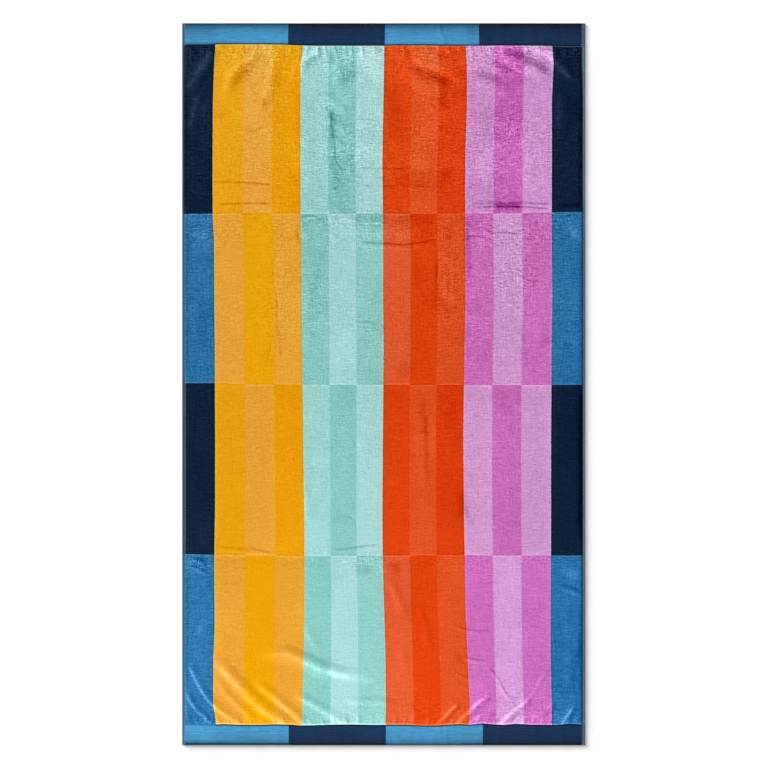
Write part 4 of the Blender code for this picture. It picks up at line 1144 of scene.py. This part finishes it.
def velour():
    m = Maker("velour_pile")
    uv, across, along = m.cloth_place()
    rough, tone_and_shade, shoulder_highlight, lean_and_slope_light = m.attribute("rough"), m.attribute("tone_and_shade"), m.attribute("shoulder_highlight"), m.attribute("lean_and_slope_light")
    # tufts blur each line between two yarns by a fraction of a millimetre
    u = m.sum("DIVIDE", m.sum("ADD", across, m.swing(m.noise(uv, 520.0, 1.0), 0.0008)), CLOTH_WIDE)
    v = m.sum("DIVIDE", m.sum("ADD", along, m.swing(m.noise(uv, 610.0, 1.0), 0.0008)), CLOTH_LONG)
    colour, grain, odd, even = stripes_on(m, u, v, False)
    colour = tinted(m, u, v, mingled(m, u, v, colour))
    # tufts in short rows that sway across and along the cloth, crinkles where the pile parts, and slow streaks
    sway_x = m.swing(m.noise(m.stretched(uv, 38.0, 30.0), 1.0, 1.0), 0.0050)
    sway_y = m.swing(m.noise(m.stretched(uv, 26.0, 38.0), 1.0, 2.0, 0.6), 0.0075)
    bent_uv = m.vector("ADD", uv, m.node("ShaderNodeCombineXYZ", {"X": sway_x, "Y": sway_y}).outputs[0])
    tufts = m.node("ShaderNodeTexVoronoi", {"Vector": m.stretched(bent_uv, 330.0, 440.0), "Scale": 1.0}, voronoi_dimensions="2D", feature="F1")
    speck = m.node("ShaderNodeSeparateXYZ", {"Vector": tufts.outputs["Color"]}).outputs["X"]
    ripple = m.noise(m.stretched(bent_uv, 50.0, 290.0), 1.0, 1.0, 0.7)
    upright = m.noise(m.stretched(bent_uv, 260.0, 44.0), 1.0, 1.0, 0.6)
    # each short row and each cord of tufts gets a painted highlight on one side and painted shade on the other
    below = m.noise(m.stretched(m.vector("ADD", bent_uv, (0.0, -0.0025, 0.0)), 50.0, 290.0), 1.0, 1.0, 0.7)
    beside = m.noise(m.stretched(m.vector("ADD", bent_uv, (0.0026, 0.0, 0.0)), 260.0, 44.0), 1.0, 1.0, 0.6)
    ribbed = m.sum("MULTIPLY", m.sum("SUBTRACT", m.noise(uv, 14.0, 1.0), 0.46), 6.0, clamp=True)
    rib = m.sum("MULTIPLY", m.sum("SINE", m.sum("MULTIPLY", m.node("ShaderNodeSeparateXYZ", {"Vector": bent_uv}).outputs["Y"], 2 * math.pi / 0.0069)), ribbed)
    worm_field = m.noise(m.stretched(bent_uv, 100.0, 165.0), 1.0, 1.0, 0.5)
    worm = m.sum("SUBTRACT", 1.0, m.sum("MULTIPLY", m.sum("ABSOLUTE", m.sum("SUBTRACT", worm_field, 0.5)), 11.0), clamp=True)
    patch = m.noise(uv, 23.0, 1.0, 0.5)
    streak = m.noise(m.stretched(uv, 190.0, 13.0), 1.0, 2.0, 0.6)
    bar = m.noise(m.stretched(uv, 11.0, 150.0), 1.0, 2.0, 0.55)
    loud = m.sum("MULTIPLY_ADD", rough, 1.60, 0.17)
    spots = m.sum("ADD", m.sum("ADD", m.swing(speck, SPECK), m.swing(ripple, ACROSS)), m.sum("ADD", m.swing(upright, ALONG), m.swing(patch, PATCH)))
    tuft_shading = m.sum("ADD", m.sum("MULTIPLY", m.sum("SUBTRACT", ripple, below), ROW_SHADING), m.sum("MULTIPLY", m.sum("SUBTRACT", upright, beside), CORD_SHADING))
    spots = m.sum("ADD", spots, m.sum("MULTIPLY_ADD", rib, RIBS, tuft_shading))
    spots = m.sum("SUBTRACT", spots, m.sum("MULTIPLY", m.sum("MULTIPLY", m.sum("SUBTRACT", worm, 0.35), rough), CRACKLE))
    spots = m.sum("MULTIPLY", spots, loud)
    lines = m.sum("ADD", m.swing(streak, STREAK), m.swing(bar, BAR))
    grained = m.sum("MULTIPLY", m.sum("ADD", spots, lines), grain)
    toned = m.sum("MULTIPLY", tone_and_shade, m.sum("MULTIPLY_ADD", grain, 0.30, 0.40))
    # painted highlight and shade where two yarns meet
    stripe_edge_shading = m.sum("MULTIPLY", edge_lines(m, u, v, odd, even), m.sum("MULTIPLY_ADD", rough, 0.9, 0.62))
    # painted light and shade from the slope, and painted highlights on the folds' lit shoulders
    ragged = m.sum("ADD", m.swing(speck, 0.25), 1.0)
    painted_light = m.sum("ADD", m.sum("MULTIPLY", m.sum("MAXIMUM", lean_and_slope_light, 0.0), SLOPE_HIGHLIGHT), m.sum("MULTIPLY", m.sum("MINIMUM", lean_and_slope_light, 0.0), SLOPE_SHADE))
    painted_light = m.sum("MULTIPLY", m.sum("ADD", painted_light, m.sum("MULTIPLY", shoulder_highlight, SHOULDER_HIGHLIGHT)), ragged)
    # a painted highlight along the pile's edge at each hem's seam, strongest on light yarns
    seam_highlight = m.curve(m.sum("MULTIPLY", off_seam(m, v), 0.25, clamp=True), [(0.0, 1.0), (0.20, 1.0), (0.34, 0.35), (0.50, 0.0)])
    seam_highlight = m.sum("MULTIPLY", seam_highlight, m.sum("MULTIPLY_ADD", m.brightness(colour), 5.0, -0.6, clamp=True))
    # except at the lower left, where blue pile lies flat over the blue hem
    flat = m.sum("MULTIPLY", m.sum("LESS_THAN", along, 0.5 * CLOTH_LONG), m.sum("MULTIPLY_ADD", across, -200.0, 16.0, clamp=True))
    seam_highlight = m.sum("MULTIPLY", seam_highlight, m.sum("SUBTRACT", 1.0, flat))
    painted_light = m.sum("MULTIPLY_ADD", seam_highlight, 0.15, painted_light)
    shift = m.sum("ADD", m.sum("ADD", grained, toned), m.sum("ADD", stripe_edge_shading, painted_light))
    # the painted highlights on golden pile are creamy rather than lemon
    parts = m.node("ShaderNodeSeparateXYZ", {"Vector": colour})
    golden = m.sum("MULTIPLY_ADD", m.sum("SUBTRACT", parts.outputs["Y"], parts.outputs["Z"]), 3.3, -1.0, clamp=True)
    cream_highlight = m.times((0.0, -0.3, 0.9), m.sum("MULTIPLY", golden, m.sum("MAXIMUM", painted_light, 0.0)))
    colour = m.vector("ADD", colour, cream_highlight)
    colour = m.vector("MAXIMUM", m.vector("ADD", colour, m.grey(shift)), (0.004, 0.004, 0.004))
    tuft = m.noise(uv, 1000.0, 2.0, 0.6)
    round_top = m.sum("SUBTRACT", 1.0, tufts.outputs["Distance"])
    height = m.sum("ADD", m.sum("MULTIPLY", round_top, 0.5), m.sum("MULTIPLY", ripple, m.sum("MULTIPLY_ADD", rough, 1.1, 0.3)))
    height = m.sum("SUBTRACT", height, m.sum("MULTIPLY", m.sum("MULTIPLY", worm, rough), 0.6))
    height = m.sum("MULTIPLY_ADD", tuft, 0.30, height)
    return m.finish(m.lit(colour), 0.9, 0.015, height, 0.0007, specular=0.02)


def flat_weave():
    m = Maker("flat_woven_hem")
    uv, across, along = m.cloth_place()
    wander = m.swing(m.noise(uv, 500.0, 1.0), 0.0007)
    u = m.sum("DIVIDE", m.sum("ADD", across, wander), CLOTH_WIDE)
    blocks = {}
    for end, places in HEM_BLOCKS.items():
        blocks[end] = m.bands(u, [share_u(x) for x in places], [shown("hem_blue"), shown("hem_navy")] * 2)
    at_top = m.sum("GREATER_THAN", along, 0.5 * CLOTH_LONG)
    colour = m.blend(at_top, blocks["lower"], blocks["upper"])
    # how far in from the end of the towel, in metres
    inward = m.sum("MINIMUM", along, m.sum("SUBTRACT", CLOTH_LONG, along))
    depth = m.sum("DIVIDE", inward, 0.060)
    # painted shade: the hem grows darker towards the towel's ends, where its roll turns down
    edge_shade = m.curve(depth, [(0.0, 0.22), (0.03, 0.45), (0.063, 0.58), (0.105, 0.68), (0.17, 0.77), (0.25, 0.89), (0.34, 0.95), (0.50, 1.00), (0.70, 1.04), (0.80, 1.04), (0.86, 0.96)])
    plain = m.curve(depth, [(0.0, 0.22), (0.03, 0.46), (0.063, 0.68), (0.105, 0.78), (0.17, 0.86), (0.25, 0.93), (0.34, 0.96), (0.50, 1.00), (0.70, 1.04), (0.80, 1.04), (0.86, 0.96)])
    # painted shade: most of the lower hem gets a dark line along its turned edge
    turned_edge_shade = m.curve(depth, [(0.0, 0.22), (0.025, 0.46), (0.050, 0.46), (0.068, 0.36), (0.088, 0.42), (0.110, 0.74), (0.17, 0.85), (0.25, 0.93), (0.34, 0.96), (0.50, 1.00), (0.70, 1.04), (0.80, 1.04), (0.86, 0.96)])
    share = m.curve(u, [(0.0, 1.0), (share_u(374), 1.0), (share_u(392), 0.1), (share_u(452), 0.1), (share_u(478), 0.75), (1.0, 0.85)])
    lower_edge_shade = m.sum("MULTIPLY_ADD", share, m.sum("SUBTRACT", turned_edge_shade, plain), plain)
    edge_shade = m.sum("MULTIPLY_ADD", at_top, m.sum("SUBTRACT", edge_shade, lower_edge_shade), lower_edge_shade)
    streak = m.noise(m.stretched(uv, 9.0, 420.0), 1.0, 3.0, 0.65)
    slub = m.noise(m.stretched(uv, 46.0, 560.0), 1.0, 2.0, 0.6)
    pick = m.noise(uv, 420.0, 2.0, 0.7)
    value = m.sum("ADD", m.sum("ADD", m.swing(streak, 0.17), m.swing(slub, 0.13)), m.sum("ADD", m.swing(pick, 0.10), 1.0))
    value = m.sum("MULTIPLY", m.sum("ADD", value, m.attribute("tone_and_shade")), edge_shade)
    # the hem sinks into its seam, which lies in shade
    sunk = m.curve(m.sum("MULTIPLY", off_seam(m, m.sum("DIVIDE", along, CLOTH_LONG)), -0.25, clamp=True), [(0.0, 0.34), (0.22, 0.38), (0.36, 0.86), (0.48, 1.0)])
    # blue pile on the blue hem hides the lower seam's left end
    hidden = m.sum("MULTIPLY", m.sum("LESS_THAN", along, 0.5 * CLOTH_LONG), m.sum("MULTIPLY_ADD", across, -200.0, 16.0, clamp=True))
    sunk = m.sum("MAXIMUM", sunk, m.sum("MULTIPLY", hidden, 0.95))
    colour = m.times(colour, m.sum("MAXIMUM", m.sum("MULTIPLY", value, sunk), 0.08))
    threads = m.sum("ADD", m.swing(streak, 0.020), m.sum("ADD", m.swing(slub, 0.018), m.swing(pick, 0.020)))
    # painted light and shade from the slope, on the hem too
    hem_slope_light = m.sum("MULTIPLY", m.attribute("lean_and_slope_light"), 0.16)
    colour = m.lit(m.vector("MAXIMUM", m.vector("ADD", colour, m.grey(m.sum("ADD", threads, hem_slope_light))), (0.004, 0.004, 0.004)))
    # plain weave with a slightly heavier weft
    warp = m.sum("SINE", m.sum("MULTIPLY", across, 2 * math.pi / 0.0011))
    weft = m.sum("SINE", m.sum("MULTIPLY", along, 2 * math.pi / 0.0013))
    weave = m.sum("MULTIPLY", m.sum("MULTIPLY", warp, weft), 0.28)
    height = m.sum("ADD", weave, m.sum("ADD", m.sum("MULTIPLY", streak, 0.9), m.sum("MULTIPLY", slub, 0.5)))
    return m.finish(colour, 0.8, 0.0, height, 0.00028, specular=0.12)


def selvedge():
    m = Maker("woven_selvedge")
    uv, across, along = m.cloth_place()
    # the ground weave shows the colour of the cloth it edges faintly at the rim, and more beside the pile, where
    # painted shade of the pile's edge darkens it too; on the right a last narrow zone at the pile's root is painted
    # shade
    v = m.sum("DIVIDE", along, CLOTH_LONG)
    places = [share_v(y) for y in (LOWER_SEAM, ROW_LINES[2], ROW_LINES[1], ROW_LINES[0], UPPER_SEAM)]
    from_left, from_right = across, m.sum("SUBTRACT", CLOTH_WIDE, across)
    tape = []
    for zone in ("left_rim", "left_inner", "right_rim", "right_inner", "right_root"):
        third = "navy_low" if zone == "left_inner" else "navy"
        tape.append(m.bands(v, places, [shown(f"{zone}_{n}") for n in ("hem", "blue", third, "blue", "navy", "hem")]))
    # where one zone of the tape runs into the next, in metres from the rim, and over what length
    passed = lambda inward, place, over: m.sum("MULTIPLY_ADD", m.sum("SUBTRACT", inward, place), 1 / over, 0.5, clamp=True)
    left_tape = m.blend(passed(from_left, 0.0045, 0.0014), tape[0], tape[1])
    right_tape = m.blend(passed(from_right, 0.0056, 0.0020), tape[2], tape[3])
    right_tape = m.blend(passed(from_right, 0.0084, 0.0010), right_tape, tape[4])
    tape = m.blend(m.sum("LESS_THAN", across, 0.5 * CLOTH_WIDE), right_tape, left_tape)
    inward = m.sum("MINIMUM", from_left, from_right)
    # painted shade: the tape darkens towards the towel's rim
    edge_shade = m.curve(m.sum("DIVIDE", inward, 0.010), [(0.0, 0.42), (0.08, 0.75), (0.20, 1.0), (1.0, 1.0)])
    tick = m.noise(m.stretched(uv, 120.0, 380.0), 1.0, 2.0, 0.6)
    value = m.sum("MULTIPLY", m.sum("ADD", m.swing(tick, 0.22), 1.0), edge_shade)
    colour = m.lit(m.times(tape, value))
    warp = m.sum("SINE", m.sum("MULTIPLY", across, 2 * math.pi / 0.0009))
    weft = m.sum("SINE", m.sum("MULTIPLY", along, 2 * math.pi / 0.0016))
    height = m.sum("ADD", m.sum("MULTIPLY", m.sum("MULTIPLY", warp, weft), 0.4), tick)
    return m.finish(colour, 0.82, 0.0, height, 0.00025, specular=0.12)


def terry():
    """The back: uncut loops, with the two shades of each stripe changing places."""
    m = Maker("terry_loops")
    uv, across, along = m.cloth_place()
    u = m.sum("DIVIDE", m.sum("ADD", across, m.swing(m.noise(uv, 300.0, 1.0), 0.0022)), CLOTH_WIDE)
    v = m.sum("DIVIDE", m.sum("ADD", along, m.swing(m.noise(uv, 330.0, 1.0), 0.0018)), CLOTH_LONG)
    colour, grain, _, _ = stripes_on(m, u, v, True)
    cells = m.node("ShaderNodeTexVoronoi", {"Vector": m.stretched(uv, 1.0, 0.82), "Scale": 430.0, "Randomness": 0.75}, voronoi_dimensions="2D", feature="F1")
    loops = cells.outputs["Distance"]
    speck = m.noise(uv, 380.0, 2.0, 0.6)
    ripple = m.noise(m.stretched(uv, 40.0, 150.0), 1.0, 2.0, 0.5)
    value = m.sum("SUBTRACT", 1.06, m.sum("MULTIPLY", loops, 0.26))
    colour = m.times(colour, m.sum("ADD", value, m.swing(ripple, 0.06)))
    shift = m.sum("MULTIPLY", m.sum("ADD", m.swing(speck, 0.06), m.swing(ripple, 0.05)), grain)
    colour = m.lit(m.vector("MAXIMUM", m.vector("ADD", colour, m.grey(shift)), (0.004, 0.004, 0.004)))
    height = m.sum("ADD", m.sum("SUBTRACT", 1.0, loops), m.sum("MULTIPLY", ripple, 0.6))
    return m.finish(colour, 0.95, 0.08, height, 0.0011)


def thread():
    m = Maker("sewing_thread")
    uv, across, along = m.cloth_place()
    u = m.sum("DIVIDE", across, CLOTH_WIDE)
    two = [shown("thread_blue"), shown("thread_navy")]
    lower = m.bands(u, [share_u(x) for x in HEM_BLOCKS["lower"]], two * 2)
    upper = m.bands(u, [share_u(x) for x in (*HEM_BLOCKS["upper"], 553)], [*two, *two, shown("thread_pale")])
    at_top = m.sum("GREATER_THAN", along, 0.5 * CLOTH_LONG)
    colour = m.blend(at_top, lower, upper)
    twist = m.noise(m.stretched(uv, 900.0, 1500.0), 1.0, 1.0)
    colour = m.lit(m.times(colour, m.sum("ADD", m.swing(twist, 0.2), 1.0)))
    return m.finish(colour, 0.55, 0.0, twist, 0.0001, specular=0.4)


# ---------------------------------------------------------------- the towel


def make_towel():
    x, y, top, under, fields = cloth_surface()
    turn = bent(top)
    face_split = cut_cells(turn, FACE_TRIANGLES)
    back_split = cut_cells(bent(under), BACK_TRIANGLES, finest=2, keep=rim_only(face_split))
    shape = top.shape
    face, face_used = polygons_of(leaves_of(face_split), shape)
    back, back_used = polygons_of(leaves_of(back_split), shape)

    rim = np.zeros(shape, bool)
    rim[0], rim[-1], rim[:, 0], rim[:, -1] = True, True, True, True
    number = np.full(shape, -1)
    number[face_used] = np.arange(face_used.sum())
    below = np.full(shape, -1)
    below[back_used & rim] = number[back_used & rim]
    inner = back_used & ~rim
    below[inner] = face_used.sum() + np.arange(inner.sum())
    assert (face_used & rim == back_used & rim).all()

    px = np.concatenate([x[face_used], x[inner]])
    py = np.concatenate([y[face_used], y[inner]])
    pz = np.concatenate([top[face_used], under[inner]]) / 1000
    points = np.stack([(px - MIDDLE_X) * PER_UNIT, (MIDDLE_Y - py) * PER_UNIT, pz], axis=1)

    loops, totals, uv_u, uv_v, is_back, slots = [], [], [], [], [], []
    flat_u, flat_v = U.ravel(), V.ravel()
    for groups, index, back_side in ((face, number.ravel(), False), (back, below.ravel(), True)):
        for g in groups:
            corners = g[:, ::-1] if back_side else g
            loops.append(index[corners].ravel())
            totals.append(np.full(len(g), g.shape[1]))
            uv_u.append(flat_u[corners].ravel())
            uv_v.append(flat_v[corners].ravel())
            is_back.append(np.full(g.size, back_side))
            cu, cv = flat_u[g].mean(axis=1), flat_v[g].mean(axis=1)
            slot = np.where((cv < UPPER_SEAM) | (cv > LOWER_SEAM), 1, 3 if back_side else 0)
            slots.append(np.where((cu < PILE_LEFT) | (cu > PILE_RIGHT), 2, slot))
    loops, totals, slots = np.concatenate(loops), np.concatenate(totals), np.concatenate(slots)
    uv_u, uv_v, is_back = np.concatenate(uv_u), np.concatenate(uv_v), np.concatenate(is_back)

    mesh = bpy.data.meshes.new("towel_sheet")
    mesh.vertices.add(len(points))
    mesh.vertices.foreach_set("co", points.astype(np.float32).ravel())
    mesh.loops.add(len(loops))
    mesh.loops.foreach_set("vertex_index", loops.astype(np.int32))
    mesh.polygons.add(len(totals))
    mesh.polygons.foreach_set("loop_start", np.concatenate([[0], np.cumsum(totals)[:-1]]).astype(np.int32))
    for make in (velour, flat_weave, selvedge, terry):
        mesh.materials.append(make())
    mesh.polygons.foreach_set("material_index", slots.astype(np.int32))
    mesh.update(calc_edges=True)
    mesh.validate()
    mesh.shade_smooth()

    cloth = mesh.uv_layers.new(name="cloth")
    across, along = (uv_u - LEFT) * PER_UNIT, (BOTTOM - uv_v) * PER_UNIT
    cloth.data.foreach_set("uv", np.stack([across, along], axis=1).astype(np.float32).ravel())
    baked = mesh.uv_layers.new(name="OFBake")
    spread_uv = np.stack([0.001 + across * 0.485 + is_back * 0.5, 0.002 + along * 0.485], axis=1)
    baked.data.foreach_set("uv", spread_uv.astype(np.float32).ravel())
    cloth.active_render = True
    mesh.uv_layers.active = cloth
    for name, field in fields.items():
        values = np.concatenate([field[face_used], field[inner]])
        mesh.attributes.new(name, "FLOAT", "POINT").data.foreach_set("value", values.astype(np.float32))

    towel = bpy.data.objects.new("beach_towel", mesh)
    bpy.context.scene.collection.objects.link(towel)
    print("towel triangles", triangles_in(face), triangles_in(back), "points", len(points))
    return towel, (x, y, top)


def make_stitches(surface):
    """One lockstitch row along each hem, each stitch a short thread that dips at both ends into the cloth."""
    x, y, top = surface
    pitch, length, thick = 0.0030, 0.0023, 0.00050
    ring = [(math.cos(a), math.sin(a)) for a in np.arange(6) * math.pi / 3]
    along_shape = ((-0.5, 0.35, -0.00040), (-0.36, 0.9, 0.00008), (0.0, 1.0, 0.00022), (0.36, 0.9, 0.00008), (0.5, 0.35, -0.00040))
    points, faces, uvs = [], [], []
    for row, run, side in (("upper", UPPER_SEAM_RUN, -1), ("lower", LOWER_SEAM_RUN, 1)):
        count = int((PILE_RIGHT - PILE_LEFT) * PER_UNIT / pitch) + 2
        for k in range(count):
            centre = PILE_LEFT - 0.8 + k * pitch / PER_UNIT
            if centre > PILE_RIGHT + 0.8:
                break
            seam = run_at(run, centre)
            # the right end of the upper row runs on the pile side of the line
            offset = 0.75 if not (row == "upper" and centre > 553) else -0.1
            place_y = seam + side * offset
            i = int(np.clip(np.searchsorted(LINE_U, centre), 1, len(LINE_U) - 1))
            j = int(np.argmin(np.abs(y[i] - place_y)))
            z = 0.5 * (top[i, j] + top[i, max(j - 1, 0)]) / 1000 + 0.00012
            base = len(points)
            slant = 0.00012 * math.sin(k * 2.1)
            for t, wide, dip in along_shape:
                for a, b in ring:
                    points.append(((centre - MIDDLE_X) * PER_UNIT + t * length, (MIDDLE_Y - place_y) * PER_UNIT + a * wide * thick * 0.75 + t * slant * 2, z + dip + b * wide * thick * 0.5))
                    uvs.append(((centre - LEFT) * PER_UNIT + t * length, (BOTTOM - place_y) * PER_UNIT + a * thick))
            for ring_at in range(len(along_shape) - 1):
                for c in range(6):
                    p, q = base + ring_at * 6 + c, base + ring_at * 6 + (c + 1) % 6
                    faces.append((p, q, q + 6, p + 6))
            faces.append(tuple(base + c for c in reversed(range(6))))
            faces.append(tuple(base + (len(along_shape) - 1) * 6 + c for c in range(6)))
    mesh = bpy.data.meshes.new("hem_stitches")
    mesh.from_pydata(points, [], faces)
    mesh.validate()
    mesh.shade_smooth()
    layer = mesh.uv_layers.new(name="cloth")
    for loop in mesh.loops:
        layer.data[loop.index].uv = uvs[loop.vertex_index]
    mesh.materials.append(thread())
    stitches = bpy.data.objects.new("hem_stitches", mesh)
    bpy.context.scene.collection.objects.link(stitches)
    # turn every face outwards
    import bmesh

    work = bmesh.new()
    work.from_mesh(mesh)
    bmesh.ops.recalc_face_normals(work, faces=work.faces)
    work.to_mesh(mesh)
    work.free()
    return stitches


# ---------------------------------------------------------------- floor, light and camera


def make_floor():
    mesh = bpy.data.meshes.new("floor")
    half = 14.0
    mesh.from_pydata([(-half, -half, -0.0002), (half, -half, -0.0002), (half, half, -0.0002), (-half, half, -0.0002)], [], [(0, 1, 2, 3)])
    floor = bpy.data.objects.new("floor", mesh)
    bpy.context.scene.collection.objects.link(floor)
    m = Maker("pale_floor")
    place = m.node("ShaderNodeTexCoord").outputs["Object"]
    grain = m.noise(place, 3.0, 2.0)
    colour = m.times((0.93, 0.93, 0.93), m.sum("ADD", m.swing(grain, 0.004), 1.0))
    mesh.materials.append(m.finish(colour, 0.9, 0.0, None, specular=0.0))
    return floor


def sun(name, strength, elevation, azimuth, soft, receivers=None, colour=(1, 1, 1)):
    """A soft distant lamp. Azimuth is where it stands: 0 is to the right, 90 above the towel's upper end, in degrees."""
    data = bpy.data.lights.new(name, "SUN")
    data.energy = strength
    data.angle = math.radians(soft)
    data.color = colour
    lamp = bpy.data.objects.new(name, data)
    bpy.context.scene.collection.objects.link(lamp)
    e, a = math.radians(elevation), math.radians(azimuth)
    back = Vector((math.cos(a) * math.cos(e), math.sin(a) * math.cos(e), math.sin(e)))
    lamp.rotation_mode = "QUATERNION"
    lamp.rotation_quaternion = back.to_track_quat("Z", "Y")
    lamp.location = back * 5
    if receivers is not None:
        lamp.light_linking.receiver_collection = receivers
    return lamp


def collection_of(name, *objects):
    made = bpy.data.collections.new(name)
    for o in objects:
        made.objects.link(o)
    return made


def make_light(floor, cloth):
    scene = bpy.context.scene
    world = bpy.data.worlds.new("studio")
    world.use_nodes = True
    world.node_tree.nodes["Background"].inputs["Color"].default_value = (1.0, 1.0, 1.0, 1.0)
    world.node_tree.nodes["Background"].inputs["Strength"].default_value = SKY_SHARE
    scene.world = world
    on_cloth = collection_of("lit_cloth", *cloth)
    on_floor = collection_of("lit_floor", floor)
    # the key lamp stands to the left, a little towards the lower end
    sun("key", KEY_SHARE * math.pi / math.sin(math.radians(24)), 24, 191, 9, on_cloth)
    lamp = bpy.data.lights.new("near_lower_end", "AREA")
    lamp.shape, lamp.size = "DISK", 0.5
    place, target = Vector((-0.75, -1.75, 0.85)), Vector((0.0, -0.65, 0.0))
    toward = target - place
    lamp.energy = NEAR_SHARE * math.pi**2 * toward.length**3 / place.z
    near_lamp = bpy.data.objects.new("near_lower_end", lamp)
    bpy.context.scene.collection.objects.link(near_lamp)
    near_lamp.location = place
    near_lamp.rotation_mode = "QUATERNION"
    near_lamp.rotation_quaternion = toward.to_track_quat("-Z", "Y")
    near_lamp.light_linking.receiver_collection = on_cloth
    # a row of low lamps draws the soft shadow on the floor, to the right and below: part of the light, elevation, softness
    for part, elevation, soft in FLOOR_LAMPS:
        sun(f"floor_{elevation}", part / 0.93 * math.pi / math.sin(math.radians(elevation)), elevation, 143, soft, on_floor)
    sun("floor_opposite", 0.100 / 0.93 * math.pi / math.sin(math.radians(30)), 30, 318, 8, on_floor)


def make_camera():
    data = bpy.data.cameras.new("camera")
    data.sensor_width = 36.0
    away = 6.0
    data.lens = 36.0 * (away - 0.003) / (768 * PER_UNIT)
    camera = bpy.data.objects.new("camera", data)
    bpy.context.scene.collection.objects.link(camera)
    camera.location = ((384 - MIDDLE_X) * PER_UNIT, (MIDDLE_Y - 384) * PER_UNIT, away)
    bpy.context.scene.camera = camera
    return camera


def main():
    bpy.context.scene.view_settings.view_transform = "Standard"
    make_camera()
    floor = make_floor()
    towel, surface = make_towel()
    stitches = make_stitches(surface)
    for piece in (towel, stitches):
        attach(piece, "root")
    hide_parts("towel")
    make_light(floor, (towel, stitches))


main()
